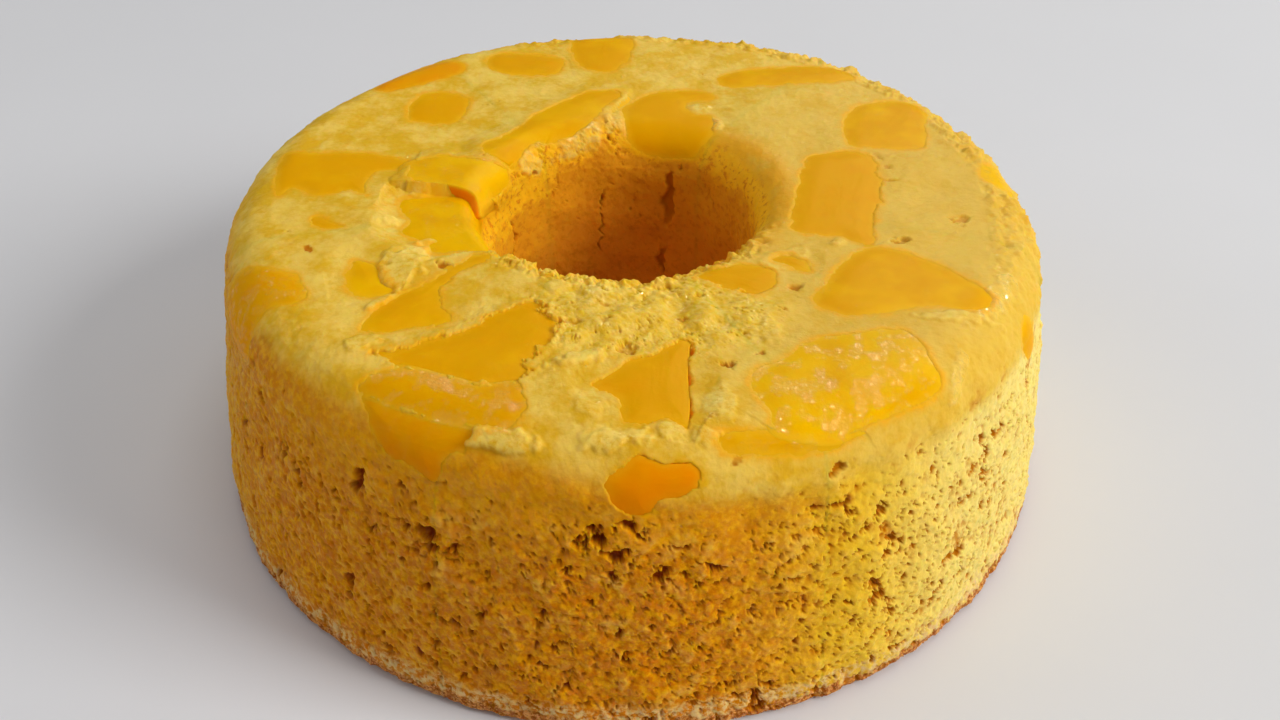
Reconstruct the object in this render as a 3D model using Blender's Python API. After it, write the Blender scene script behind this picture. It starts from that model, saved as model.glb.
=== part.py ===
"""Mango ring cake: a solid sponge ring with slices of mango baked into its top.

Metres, +Z up. The origin is on the cake's axis, at the level of its foot.
Places on the cake are given on its unrolled skin: x runs to the right and y to
the back from the middle of the top, and past the edge or into the hole the
distance is measured along the curved skin.
"""
import math

import bmesh
import bpy
from mathutils import Vector, noise

MM = 0.001

# The ring
HEIGHT = 70.0 * MM
FOOT_RADIUS = 102.8 * MM
SHOULDER_RADIUS = 96.4 * MM
EDGE_ROUNDING = 13.1 * MM
FOOT_ROUNDING = 2.4 * MM
WALL_CURVE = 1.6

# The hole left by the tin's tube, a little off the axis
HOLE_CENTRE = Vector((-2.5 * MM, -3.3 * MM, 0.0))
HOLE_RADIUS = 31.8 * MM
HOLE_TAPER = 1.0 * MM
HOLE_ROUNDING = 5.4 * MM
HOLE_ROUNDING_BACK = 4.8 * MM
HOLE_BACK_AZIMUTH = math.radians(60.0)

# How finely the skin is divided
SEGMENTS = 80
FRONT_CROWDING = 0.3
BORE_ROWS = 3
HOLE_EDGE_ROWS = 3
TOP_ROWS = 6
EDGE_ROWS = 4
WALL_ROWS = 12
FOOT_ROWS = 2

# Relief of the crumb
SWELL_LENGTH = 46.0 * MM
SWELL_DEPTH = 0.9 * MM
SKIN_LENGTH = 13.0 * MM
SKIN_DEPTH = 0.5 * MM
WALL_LENGTH = 9.0 * MM
WALL_DEPTH = 0.9 * MM
TORN_LENGTH = 7.5 * MM
TORN_DEPTH = 2.2 * MM
TORN_CENTRE = Vector((4.0 * MM, -52.0 * MM, 0.0))
TORN_HALF_WIDTH = 30.0 * MM
TORN_HALF_DEPTH = 15.0 * MM
TORN_FADE = (0.7, 1.1)
FOOT_FADE = 8.0 * MM

# Mango slices
SLICE_GAP = 0.3 * MM
SLICE_THICKNESS = 4.5 * MM
SLICE_EDGE_DROP = 0.7 * MM
SLICE_CROWN = 0.35 * MM
CROWN_FLATTENING = 0.2
SLICE_SHOULDER = 0.86
MIDDLE_SHARE = 0.45
CUTTER_RISE = 3.0 * MM
FLAT_SLICE_SIDES = 12
BENT_SLICE_SIDES = 13
SMALL_SLICE_SIDES = 9
SMALL_SLICE_LENGTH = 15.0
BEND_SLACK = 1.0 * MM
CREASE_ANGLE = math.radians(40.0)

# Each slice: place x and y of its middle, length, width, turn in degrees,
# taper towards its far end, bow, squareness of its outline, and how far it
# lies below the skin. Millimetres.
SLICES = {
    "mango_rim_back": (-8.5, 76.5, 27, 18, 88, 0.25, 0.0, 2.6, 0.2),
    "mango_rim_back_left": (-29.5, 68.5, 22, 14, -8, 0.05, -1.0, 2.6, 0.3),
    "mango_edge_back_left": (-57.5, 60.0, 27, 12, 33, 0.10, 1.0, 2.6, 0.2),
    "mango_top_back_left": (-51.5, 41.5, 19, 16, 80, 0.15, 0.0, 3.0, 0.3),
    "mango_long_back_left": (-22.0, 37.0, 43, 13, 49, 0.10, -1.0, 3.0, 0.3),
    "mango_top_left": (-72.0, 9.0, 27, 19, 4, 0.05, -1.0, 3.2, 0.2),
    "mango_hole_left_upper": (-41.0, 11.0, 32, 11, -6, 0.0, 1.5, 2.8, 0.2),
    "mango_hole_left_lower": (-42.5, -8.0, 29, 15, -33, 0.0, 0.0, 2.8, 0.5),
    "mango_hole_left_front": (-47.0, -43.0, 30, 13, 57, -0.15, -2.0, 2.8, 0.4),
    "mango_top_left_small": (-59.5, -34.0, 13, 7, 75, 0.0, 0.0, 2.4, 0.5),
    "mango_top_left_sliver": (-70.5, -13.5, 8, 5.5, -30, 0.0, 0.0, 2.2, 0.4),
    "mango_edge_left": (-82.0, -43.0, 29, 21, -37, -0.1, 1.0, 2.6, 0.3),
    "mango_front_left_top": (-33.5, -60.4, 38, 16.0, 27, 0.28, 0.0, 2.8, 0.4),
    "mango_front_left_edge": (-40.5, -78.4, 40, 8.5, -20, 0.0, -0.5, 2.8, 0.2),
    "mango_front_left_wall": (-46.0, -88.3, 29, 9, -24, 0.0, 0.0, 2.6, 0.3),
    "mango_front_middle": (3.5, -73.0, 26, 17, 90, -0.05, 0.0, 4.0, 1.0),
    "mango_front_wall": (3.0, -99.0, 17, 11, 4, 0.2, 0.0, 2.6, 0.5),
    "mango_front_right": (43.5, -72.6, 44, 21.5, 38, 0.0, 1.0, 2.6, 0.1),
    "mango_front_right_edge": (25.5, -93.6, 26, 6.5, 4, 0.0, 0.0, 2.6, 0.3),
    "mango_right_front": (57.5, -38.5, 38, 22, 6, 0.0, 2.0, 2.6, 0.2),
    "mango_hole_right_front": (23.0, -38.5, 16, 11, -28, 0.0, 0.0, 2.4, 0.5),
    "mango_hole_right_small": (34.5, -29.0, 8, 6.5, -20, 0.0, 0.0, 2.2, 0.4),
    "mango_right_long": (48.0, -1.0, 37, 19, 78, -0.1, 1.0, 3.0, 0.4),
    "mango_right_back": (65.0, 33.0, 27, 22, 60, -0.1, 0.0, 2.8, 0.2),
    "mango_back_right_long": (42.0, 60.0, 38, 11.5, 5, 0.0, 1.0, 2.8, 0.3),
    "mango_hole_back": (9.5, 40.0, 33, 24, 88, 0.05, 0.0, 3.0, 0.4),
    "mango_edge_right": (89.5, 10.5, 15, 10, 78, 0.0, 0.0, 2.4, 0.3),
    "mango_edge_right_front": (94.0, -45.0, 16, 9, 20, 0.0, 0.0, 2.4, 0.3),
    "mango_edge_back_right": (20.0, 94.0, 25, 13, -14, 0.1, 1.0, 2.6, 0.3),
    "mango_edge_back": (-27.0, 93.5, 19, 12, 24, 0.0, 0.0, 2.6, 0.3),
}

# Each hollow of the crumb: place x and y, width, height, depth and lean in
# degrees. Millimetres. The wall begins 104 mm out from the middle.
HOLLOWS = (
    (-61.0, -91.5, 4.0, 8.5, 3.5, 20),
    (-47.0, -106.5, 4.5, 8.5, 5.0, 10),
    (-7.5, -109.5, 9.0, 5.5, 5.5, 8),
    (-3.5, -113.5, 5.0, 4.0, 3.5, -30),
    (0.5, -106.8, 6.0, 2.6, 3.0, 25),
    (67.0, -118.0, 6.5, 5.0, 4.0, -20),
    (42.0, -91.8, 5.0, 2.4, 2.5, 0),
    (-79.0, -111.0, 4.0, 4.5, 3.0, 15),
    (18.0, -68.0, 4.5, 3.0, 2.0, 20),
    (35.0, -41.0, 4.0, 2.2, 1.8, 15),
    (59.5, -22.5, 4.0, 3.5, 2.0, 60),
    (-41.0, -31.5, 4.5, 2.5, 1.8, -15),
)
HOLLOW_RAGGEDNESS = 0.35
HOLLOW_LUMPS = 1.7

# Small hollows of the wall, reaching from PIT_INNER to PIT_OUTER. Millimetres.
PIT_COUNT = 14
PIT_SEED = 7
PIT_INNER = 112.0
PIT_OUTER = 152.0
PIT_WIDTHS = (2.6, 4.4)
PIT_HEIGHT_SHARE = 0.7
PIT_DEPTH = 1.8

CRUMB_COLOUR = (0.78, 0.52, 0.13, 1.0)
MANGO_COLOUR = (0.76, 0.38, 0.01, 1.0)


def clear_scene():
    """Remove whatever objects the file opened with."""
    for item in list(bpy.data.objects):
        bpy.data.objects.remove(item, do_unlink=True)


def make_material(name, colour, roughness):
    material = bpy.data.materials.new(name)
    material.use_nodes = True
    shader = material.node_tree.nodes["Principled BSDF"]
    shader.inputs["Base Color"].default_value = colour
    shader.inputs["Roughness"].default_value = roughness
    shader.inputs["Metallic"].default_value = 0.0
    material.diffuse_color = colour
    return material


def direction(azimuth):
    return Vector((math.cos(azimuth), math.sin(azimuth), 0.0))


def smooth(low, high, value):
    """Rise smoothly from 0 at low to 1 at high."""
    share = min(max((value - low) / (high - low), 0.0), 1.0)
    return share * share * (3.0 - 2.0 * share)


def shoulder_height():
    return HEIGHT - EDGE_ROUNDING


def flat_radius():
    """Where the flat top ends and the outer rounding begins."""
    return SHOULDER_RADIUS - EDGE_ROUNDING


def wall_radius(height):
    """The outer wall narrows upwards, more so near the shoulder."""
    share = max(height, 0.0) / shoulder_height()
    return FOOT_RADIUS - (FOOT_RADIUS - SHOULDER_RADIUS) * share ** WALL_CURVE


def hole_rounding(azimuth):
    """The hole's upper edge is rounder at the back right."""
    facing = 0.5 + 0.5 * math.cos(azimuth - HOLE_BACK_AZIMUTH)
    return HOLE_ROUNDING + HOLE_ROUNDING_BACK * facing


def bore_radius(height):
    return HOLE_RADIUS - HOLE_TAPER * (1.0 - height / HEIGHT)


def outer_skin(azimuth, reach):
    """A point and its normal, at a distance from the middle along the skin."""
    out = direction(azimuth)
    bend = (reach - flat_radius()) / EDGE_ROUNDING
    if bend <= 0.0:
        return out * reach + Vector((0, 0, HEIGHT)), Vector((0, 0, 1))
    if bend < math.pi / 2:
        radius = flat_radius() + EDGE_ROUNDING * math.sin(bend)
        height = shoulder_height() + EDGE_ROUNDING * math.cos(bend)
        normal = out * math.sin(bend) + Vector((0, 0, math.cos(bend)))
        return out * radius + Vector((0, 0, height)), normal
    height = shoulder_height() - (bend - math.pi / 2) * EDGE_ROUNDING
    return out * wall_radius(height) + Vector((0, 0, height)), out


def hole_skin(azimuth, inset):
    """A point and its normal, at a distance along the skin into the hole."""
    out = direction(azimuth)
    rounding = hole_rounding(azimuth)
    rim = bore_radius(HEIGHT) + rounding
    bend = min(inset / rounding, math.pi / 2)
    radius = rim - rounding * math.sin(bend)
    height = HEIGHT - rounding + rounding * math.cos(bend)
    drop = inset - rounding * math.pi / 2
    if drop > 0.0:
        height -= drop
        radius = bore_radius(height)
    normal = Vector((0, 0, math.cos(bend))) - out * math.sin(bend)
    return HOLE_CENTRE + out * radius + Vector((0, 0, height)), normal


def swell(point):
    """How far the whole skin bulges or sinks at a point of the smooth ring."""
    height = noise.noise(point / SWELL_LENGTH) * SWELL_DEPTH
    return height * smooth(0.0, FOOT_FADE, point.z)


def skin(x, y, depth=0.0):
    """The place on, above or below the skin at unrolled x and y."""
    from_hole = Vector((x, y, 0.0)) - HOLE_CENTRE
    azimuth = math.atan2(from_hole.y, from_hole.x)
    rim = bore_radius(HEIGHT) + hole_rounding(azimuth)
    if from_hole.length < rim:
        point, normal = hole_skin(azimuth, rim - from_hole.length)
    else:
        point, normal = outer_skin(math.atan2(y, x), math.hypot(x, y))
    return point + normal * (swell(point) - depth)


def torn_share(point):
    """1 where the top's skin has torn away in front of the hole, 0 elsewhere."""
    across = (point.x - TORN_CENTRE.x) / TORN_HALF_WIDTH
    along = (point.y - TORN_CENTRE.y) / TORN_HALF_DEPTH
    level = smooth(HEIGHT - EDGE_ROUNDING, HEIGHT, point.z)
    return level * (1.0 - smooth(*TORN_FADE, math.hypot(across, along)))


def relief(point, normal):
    """How far the crumb stands out of the smooth ring at a point."""
    steep = 1.0 - abs(normal.z)
    height = noise.noise(point / SKIN_LENGTH) * SKIN_DEPTH * (1.0 - steep)
    height += noise.noise(point / WALL_LENGTH) * WALL_DEPTH * steep
    height += noise.noise(point / TORN_LENGTH) * TORN_DEPTH * torn_share(point)
    return swell(point) + height * smooth(0.0, FOOT_FADE, point.z)


def azimuths():
    """Angles round the ring, closer together at the front."""
    turn = 2.0 * math.pi / SEGMENTS
    even = [turn * index for index in range(SEGMENTS)]
    return [angle - FRONT_CROWDING * math.sin(angle + math.pi / 2) for angle in even]


def meridian(azimuth):
    """Points and normals from the bore's foot over the top to the outer foot."""
    rounding = hole_rounding(azimuth)
    arc = rounding * math.pi / 2
    bore = HEIGHT - rounding
    line = []
    for row in range(BORE_ROWS):
        line.append(hole_skin(azimuth, arc + bore * (1.0 - row / BORE_ROWS)))
    for row in range(HOLE_EDGE_ROWS):
        line.append(hole_skin(azimuth, arc * (1.0 - row / HOLE_EDGE_ROWS)))
    inner = hole_skin(azimuth, 0.0)[0]
    outer = outer_skin(azimuth, flat_radius())[0]
    for row in range(TOP_ROWS):
        line.append((inner.lerp(outer, row / TOP_ROWS), Vector((0, 0, 1))))
    edge = EDGE_ROUNDING * math.pi / 2
    for row in range(EDGE_ROWS):
        line.append(outer_skin(azimuth, flat_radius() + edge * row / EDGE_ROWS))
    drop = shoulder_height() - FOOT_ROUNDING
    for row in range(WALL_ROWS + 1):
        line.append(outer_skin(azimuth, flat_radius() + edge + drop * row / WALL_ROWS))
    out = direction(azimuth)
    for row in range(1, FOOT_ROWS + 1):
        bend = math.pi / 2 * row / FOOT_ROWS
        radius = wall_radius(FOOT_ROUNDING) - FOOT_ROUNDING * (1.0 - math.cos(bend))
        height = FOOT_ROUNDING * (1.0 - math.sin(bend))
        line.append((out * radius + Vector((0, 0, height)), out))
    return line


def make_object(name, mesh, material):
    mesh.materials.append(material)
    item = bpy.data.objects.new(name, mesh)
    bpy.context.scene.collection.objects.link(item)
    return item


def bridge(faces, lower, upper):
    """Join two closed rows of vertices with triangles."""
    count = len(lower)
    for index in range(count):
        after = (index + 1) % count
        faces.append((lower[index], lower[after], upper[after]))
        faces.append((lower[index], upper[after], upper[index]))


def build_mesh(name, points, faces):
    """A closed mesh of triangles whose faces point outwards."""
    mesh = bpy.data.meshes.new(name)
    mesh.from_pydata([tuple(point) for point in points], [], faces)
    work = bmesh.new()
    work.from_mesh(mesh)
    bmesh.ops.recalc_face_normals(work, faces=work.faces)
    work.to_mesh(mesh)
    work.free()
    return mesh


def ring_mesh():
    """The sponge before its pockets are cut."""
    points = []
    rows = None
    for azimuth in azimuths():
        line = meridian(azimuth)
        if rows is None:
            rows = [[] for _ in line]
        for row, (point, normal) in enumerate(line):
            rows[row].append(len(points))
            points.append(point + normal * relief(point, normal))
    faces = []
    for lower, upper in zip(rows, rows[1:]):
        bridge(faces, lower, upper)
    bridge(faces, rows[-1], rows[0])
    return build_mesh("cake_sponge", points, faces)


def outline(shape, sides, grow=0.0):
    """The outline of a slice on the unrolled skin, grown by a distance."""
    x, y, length, width, turn, taper, bow, square = shape[:8]
    angle = math.radians(turn)
    rim = []
    for index in range(sides):
        step = 2.0 * math.pi * (index + 0.5) / sides
        along = math.copysign(abs(math.cos(step)) ** (2.0 / square), math.cos(step))
        across = math.copysign(abs(math.sin(step)) ** (2.0 / square), math.sin(step))
        a = 0.5 * length * along
        b = 0.5 * width * across * (1.0 + taper * along) + bow * (1.0 - along * along)
        rim.append(Vector((x + a * math.cos(angle) - b * math.sin(angle),
                           y + a * math.sin(angle) + b * math.cos(angle))) * MM)
    grown = []
    for index in range(sides):
        before = rim[index - 1]
        after = rim[(index + 1) % sides]
        edge = after - before
        side = Vector((edge.y, -edge.x)).normalized()
        grown.append(rim[index] + side * grow)
    return grown


def layered_mesh(name, rim, levels):
    """A closed solid made of copies of an outline, shrunk and sunk level by level.

    Each level is a share of the outline's size and a depth below the skin. The
    first and last levels are single points that close the two sides.
    """
    middle = sum(rim, Vector((0.0, 0.0))) / len(rim)
    points = []
    rows = []
    for share, depth in levels:
        row = []
        spots = rim if share > 0.0 else [middle]
        for spot in spots:
            place = middle.lerp(spot, share)
            row.append(len(points))
            points.append(skin(place.x, place.y, depth))
        rows.append(row)
    faces = []
    for lower, upper in zip(rows[1:-2], rows[2:-1]):
        bridge(faces, lower, upper)
    for row, tip in ((rows[1], rows[0][0]), (rows[-2], rows[-1][0])):
        for index, corner in enumerate(row):
            faces.append((corner, row[(index + 1) % len(row)], tip))
    return build_mesh(name, points, faces)


def is_bent(shape):
    """Whether a slice reaches over the outer edge or into the hole."""
    for spot in outline(shape, SMALL_SLICE_SIDES):
        from_hole = spot - HOLE_CENTRE.to_2d()
        azimuth = math.atan2(from_hole.y, from_hole.x)
        rim = bore_radius(HEIGHT) + hole_rounding(azimuth)
        if spot.length > flat_radius() + BEND_SLACK or from_hole.length < rim - BEND_SLACK:
            return True
    return False


def slice_sides(shape):
    if shape[2] < SMALL_SLICE_LENGTH:
        return SMALL_SLICE_SIDES
    return BENT_SLICE_SIDES if is_bent(shape) else FLAT_SLICE_SIDES


def slice_mesh(name, shape):
    """One mango slice: flat below, softly crowned above, with a rounded rim."""
    sink = shape[8] * MM
    floor = sink + min(SLICE_THICKNESS, shape[3] * MM / 2)
    crown = sink - SLICE_CROWN
    levels = [(0.0, crown)]
    if is_bent(shape):
        levels.append((MIDDLE_SHARE, crown + CROWN_FLATTENING * SLICE_CROWN))
    levels.append((SLICE_SHOULDER, sink))
    levels.append((1.0, sink + SLICE_EDGE_DROP))
    levels.append((1.0, floor))
    if is_bent(shape):
        levels.append((MIDDLE_SHARE, floor))
    levels.append((0.0, floor))
    return layered_mesh(name, outline(shape, slice_sides(shape)), levels)


def pocket_mesh(name, shape):
    """The space cut out of the sponge for a slice, with a gap all round."""
    sink = shape[8] * MM
    floor = sink + min(SLICE_THICKNESS, shape[3] * MM / 2) + SLICE_GAP
    levels = [(0.0, -CUTTER_RISE)]
    if is_bent(shape):
        levels.append((MIDDLE_SHARE, -CUTTER_RISE))
    levels.append((1.0, -CUTTER_RISE))
    if is_bent(shape):
        levels.append((1.0, sink + SLICE_EDGE_DROP))
    levels.append((1.0, floor))
    if is_bent(shape):
        levels.append((MIDDLE_SHARE, floor))
    levels.append((0.0, floor))
    return layered_mesh(name, outline(shape, slice_sides(shape), SLICE_GAP), levels)


def hollow_mesh(name, spec, subdivisions):
    """A ragged gouge, half above and half below the skin."""
    x, y, width, height, depth, lean = spec
    work = bmesh.new()
    bmesh.ops.create_icosphere(work, subdivisions=subdivisions, radius=1.0)
    angle = math.radians(lean)
    azimuth = math.atan2(y, x)
    for vertex in work.verts:
        point = vertex.co
        ragged = 1.0 + HOLLOW_RAGGEDNESS * noise.noise(point * HOLLOW_LUMPS + Vector((x, y, width)))
        a = 0.5 * width * point.x * ragged
        b = 0.5 * height * point.y * ragged
        along = a * math.cos(angle) - b * math.sin(angle)
        outward = a * math.sin(angle) + b * math.cos(angle)
        place_x = x - along * math.sin(azimuth) + outward * math.cos(azimuth)
        place_y = y + along * math.cos(azimuth) + outward * math.sin(azimuth)
        vertex.co = skin(place_x * MM, place_y * MM, depth * point.z * ragged * MM)
    work.normal_update()
    bmesh.ops.recalc_face_normals(work, faces=work.faces)
    mesh = bpy.data.meshes.new(name)
    work.to_mesh(mesh)
    work.free()
    return mesh


def pits():
    """Small hollows spread over the wall by a seeded draw, clear of each other."""
    noise.seed_set(PIT_SEED)
    taken = [(spec[0], spec[1], spec[2]) for spec in HOLLOWS]
    taken += [(shape[0], shape[1], shape[2] / 2) for shape in SLICES.values()]
    found = []
    while len(found) < PIT_COUNT:
        azimuth = 2.0 * math.pi * noise.random()
        reach = PIT_INNER + (PIT_OUTER - PIT_INNER) * noise.random()
        width = PIT_WIDTHS[0] + (PIT_WIDTHS[1] - PIT_WIDTHS[0]) * noise.random()
        lean = 180.0 * noise.random()
        x = reach * math.cos(azimuth)
        y = reach * math.sin(azimuth)
        if all(math.hypot(x - a, y - b) > size + width for a, b, size in taken):
            taken.append((x, y, width))
            found.append((x, y, width, width * PIT_HEIGHT_SHARE, PIT_DEPTH, lean))
    return found


def cut(target, cutters, material):
    """Cut a collection of solids out of the target and remove them."""
    group = bpy.data.collections.new("cutters")
    bpy.context.scene.collection.children.link(group)
    for mesh in cutters:
        cutter = make_object(mesh.name, mesh, material)
        bpy.context.scene.collection.objects.unlink(cutter)
        group.objects.link(cutter)
        cutter.hide_render = True
        cutter.display_type = "WIRE"
    modifier = target.modifiers.new("pockets", "BOOLEAN")
    modifier.operation = "DIFFERENCE"
    modifier.operand_type = "COLLECTION"
    modifier.collection = group
    modifier.solver = "EXACT"
    graph = bpy.context.evaluated_depsgraph_get()
    carved = bpy.data.meshes.new_from_object(target.evaluated_get(graph))
    carved.name = target.data.name
    target.modifiers.clear()
    target.data = carved
    for cutter in list(group.objects):
        bpy.data.objects.remove(cutter, do_unlink=True)
    bpy.data.collections.remove(group)


def build_sponge():
    """The sponge ring with its pockets and hollows."""
    crumb = make_material("sponge_crumb", CRUMB_COLOUR, 0.8)
    sponge = make_object("cake_sponge", ring_mesh(), crumb)
    cutters = []
    for name, shape in SLICES.items():
        cutters.append(pocket_mesh(name + "_pocket", shape))
    for index, spec in enumerate(HOLLOWS):
        cutters.append(hollow_mesh("hollow_%02d" % index, spec, 2))
    for index, spec in enumerate(pits()):
        cutters.append(hollow_mesh("pit_%02d" % index, spec, 1))
    cut(sponge, cutters, crumb)
    return sponge


def build_slices():
    """Every mango slice, each in its own node."""
    flesh = make_material("mango_flesh", MANGO_COLOUR, 0.3)
    for name, shape in SLICES.items():
        item = make_object(name, slice_mesh(name, shape), flesh)
        item.data.shade_smooth()
        item.data.set_sharp_from_angle(angle=CREASE_ANGLE)


def main():
    clear_scene()
    build_sponge()
    build_slices()


main()
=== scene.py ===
"""Mango ring cake: its baked crumb, its crust and the mango slices in its top.

Metres, +Z up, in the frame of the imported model. Places on the cake are given on
its unrolled skin, in millimetres: x runs to the right and y to the back from the
middle of the top, and past the edge or into the hole the distance is measured
along the curved skin.
"""
import logging
import math
from dataclasses import asdict, dataclass, field
from enum import Enum

import bpy
import numpy as np
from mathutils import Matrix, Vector, noise


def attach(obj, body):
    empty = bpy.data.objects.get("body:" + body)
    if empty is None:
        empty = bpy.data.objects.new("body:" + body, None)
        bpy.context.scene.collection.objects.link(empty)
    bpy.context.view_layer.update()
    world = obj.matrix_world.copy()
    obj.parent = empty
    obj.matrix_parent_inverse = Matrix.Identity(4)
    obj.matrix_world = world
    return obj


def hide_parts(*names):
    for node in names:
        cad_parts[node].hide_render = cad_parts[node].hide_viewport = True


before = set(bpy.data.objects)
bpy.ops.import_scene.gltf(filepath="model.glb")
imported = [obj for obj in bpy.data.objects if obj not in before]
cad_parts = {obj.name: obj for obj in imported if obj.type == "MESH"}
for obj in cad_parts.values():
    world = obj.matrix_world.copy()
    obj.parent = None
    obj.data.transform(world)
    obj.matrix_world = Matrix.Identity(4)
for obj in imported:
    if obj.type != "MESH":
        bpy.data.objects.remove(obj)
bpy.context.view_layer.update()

LOG = logging.getLogger("mango_cake")
MM = 0.001
BODY = "root"
QUARTER = math.pi / 2

Colour = tuple[float, float, float, float]
Spot = tuple[float, float]
Field = np.ndarray

FARTHEST_STRAY = 2.2
# some of these marks carry painted light and shade: the lit side, the left side, the crests, the cavities,
# the rim's shade and the shade line down the hole
FINISH_MARKS = ("cavity", "bare", "crest", "lit", "wall", "left", "deep", "torn", "crag", "pale", "wet",
                "painted_shade_line", "width", "golden", "moist")


def srgb(red: int, green: int, blue: int) -> Colour:
    """Turn a colour as a screen shows it, from 0 to 255, into the linear one that shaders use."""
    shares = [channel / 255.0 for channel in (red, green, blue)]
    return (*(s / 12.92 if s <= 0.04045 else ((s + 0.055) / 1.055) ** 2.4 for s in shares), 1.0)


def smooth(low: float, high: float, value: Field) -> Field:
    """Rise smoothly from 0 at low to 1 at high, or fall where low is the larger."""
    share = np.clip((value - low) / (high - low), 0.0, 1.0)
    return share * share * (3.0 - 2.0 * share)


def noise_at(points: Field, length: float) -> Field:
    """Sample noise from about -1 to 1 at rows of x, y and z, with lumps of the given length."""
    return np.array([noise.noise(spot) for spot in (points / length).tolist()])


@dataclass(frozen=True)
class Wire:
    """A value that one of a graph's nodes gives, which sums are written with."""

    graph: "Graph"
    socket: bpy.types.NodeSocket

    def __add__(self, other: object) -> "Wire":
        """Add another value."""
        return self.graph.math("ADD", self, other)

    def __sub__(self, other: object) -> "Wire":
        """Take another value away."""
        return self.graph.math("SUBTRACT", self, other)

    def __rsub__(self, other: object) -> "Wire":
        """Take this value from a plain number."""
        return self.graph.math("SUBTRACT", other, self)

    def __mul__(self, other: object) -> "Wire":
        """Multiply by another value."""
        return self.graph.math("MULTIPLY", self, other)


class Graph:
    """Adds and joins the nodes of one shader or geometry tree."""

    def __init__(self, tree: bpy.types.NodeTree) -> None:
        """Hold the tree that the nodes go into."""
        self.tree = tree
        self.is_geometry = tree.bl_idname == "GeometryNodeTree"

    def feed(self, socket: bpy.types.NodeSocket, value: object) -> None:
        """Join a socket to a wire, or set its value.

        Args:
            socket: The input to fill.
            value: A wire, or a plain value.
        """
        if isinstance(value, Wire):
            self.tree.links.new(value.socket, socket)
        else:
            socket.default_value = value

    def made(self, kind: str, inputs: dict[object, object], output: object = 0, **settings: object) -> Wire:
        """Add a node.

        Args:
            kind: The node's type name.
            inputs: What its inputs get, by their names or numbers.
            output: Name or number of the output to give.
            **settings: Values of the node's own properties.

        Returns:
            The output's wire.
        """
        node = self.tree.nodes.new(kind)
        for name, value in settings.items():
            setattr(node, name, value)
        for name, value in inputs.items():
            self.feed(node.inputs[name], value)
        return Wire(self, node.outputs[output])

    def math(self, operation: str, *values: object) -> Wire:
        """Work out one number from others."""
        return self.made("ShaderNodeMath", dict(enumerate(values)), operation=operation)

    def clamped(self, total: Wire) -> Wire:
        """Keep the result of a sum between 0 and 1."""
        total.socket.node.use_clamp = True
        return total

    def scaled(self, place: object, by: object) -> Wire:
        """Scale a vector."""
        return self.made("ShaderNodeVectorMath", {0: place, "Scale": by}, operation="SCALE")

    def moved(self, place: object, by: object) -> Wire:
        """Move a place by a vector."""
        return self.made("ShaderNodeVectorMath", {0: place, 1: by}, operation="ADD")

    def parts(self, vector: Wire) -> list[Wire]:
        """Give a vector's x, y and z, or a colour's red, green and blue."""
        first = self.made("ShaderNodeSeparateXYZ", {0: vector})
        return [Wire(self, socket) for socket in first.socket.node.outputs]

    def step(self, value: object, low: object, high: object) -> Wire:
        """Rise smoothly from 0 at low to 1 at high, or fall where low is the larger."""
        span = {"Value": value, "From Min": low, "From Max": high}
        return self.made("ShaderNodeMapRange", span, interpolation_type="SMOOTHSTEP")

    def mix(self, factor: object, first: object, second: object) -> Wire:
        """Mix two numbers, by the second one's share."""
        return self.made("ShaderNodeMix", {0: factor, 2: first, 3: second}, data_type="FLOAT")

    def tint(self, factor: object, first: object, second: object) -> Wire:
        """Mix two colours, by the second one's share."""
        mixed = {0: factor, 6: first, 7: second}
        return self.made("ShaderNodeMix", mixed, 2, data_type="RGBA", clamp_factor=True)

    def layered(self, colour: object, *layers: tuple[object, object]) -> Wire:
        """Lay tints over a colour.

        Args:
            colour: The colour to begin with.
            *layers: The share and the colour of each tint.

        Returns:
            The mixed colour.
        """
        for share, shade in layers:
            colour = self.tint(share, colour, shade)
        return colour

    def attribute(self, name: str) -> Wire:
        """Read a number that the mesh carries at each of its points.

        Args:
            name: The attribute's name.

        Returns:
            The number's wire.
        """
        if self.is_geometry:
            kind = "GeometryNodeInputNamedAttribute"
            return self.made(kind, {"Name": name}, "Attribute", data_type="FLOAT")
        return self.made("ShaderNodeAttribute", {}, "Fac", attribute_name=name)

    def place(self) -> Wire:
        """Give the point's place in the object, in millimetres."""
        kind = "GeometryNodeInputPosition" if self.is_geometry else "ShaderNodeTexCoord"
        return self.scaled(self.made(kind, {}, "Position" if self.is_geometry else "Object"), 1.0 / MM)

    def shifted_place(self, shift: Wire) -> Wire:
        """Give the point's place moved by the same distance along x, y and z."""
        return self.moved(self.place(), self.made("ShaderNodeCombineXYZ", {0: shift, 1: shift, 2: shift}))

    def texture(self, kind: str, place: object, size: float, output: object, **inputs: float) -> Wire:
        """Sample a solid pattern at a place, with lumps or cells of a size in millimetres."""
        given = {"Vector": self.scaled(place, 1.0 / size), "Scale": 1.0, **inputs}
        return self.made(kind, given, output)

    def noise(self, place: object, size: float, detail: float = 2.0, rough: float = 0.5) -> Wire:
        """Sample noise from about 0.2 to 0.8, with a count of finer layers and their strength."""
        return self.texture("ShaderNodeTexNoise", place, size, 0, Detail=detail, Roughness=rough)

    def swing(self, place: object, size: float, detail: float = 2.0, rough: float = 0.5) -> Wire:
        """Sample the same noise around 0."""
        return self.noise(place, size, detail, rough) - 0.5

    def bent(self, place: Wire, size: float, by: float) -> Wire:
        """Shift places by a noise of a size, at most so many millimetres, to bend shapes drawn on them."""
        colour = self.texture("ShaderNodeTexNoise", place, size, "Color")
        return self.moved(place, self.scaled(self.moved(colour, (-0.5, -0.5, -0.5)), 4.0 * by))

    def bump(self, height: Wire, strength: float, depth: float) -> Wire:
        """Turn a height from 0 to 1 into a shading normal, with the depth in millimetres."""
        return self.made("ShaderNodeBump", {"Strength": strength, "Distance": depth * MM, "Height": height})

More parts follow.
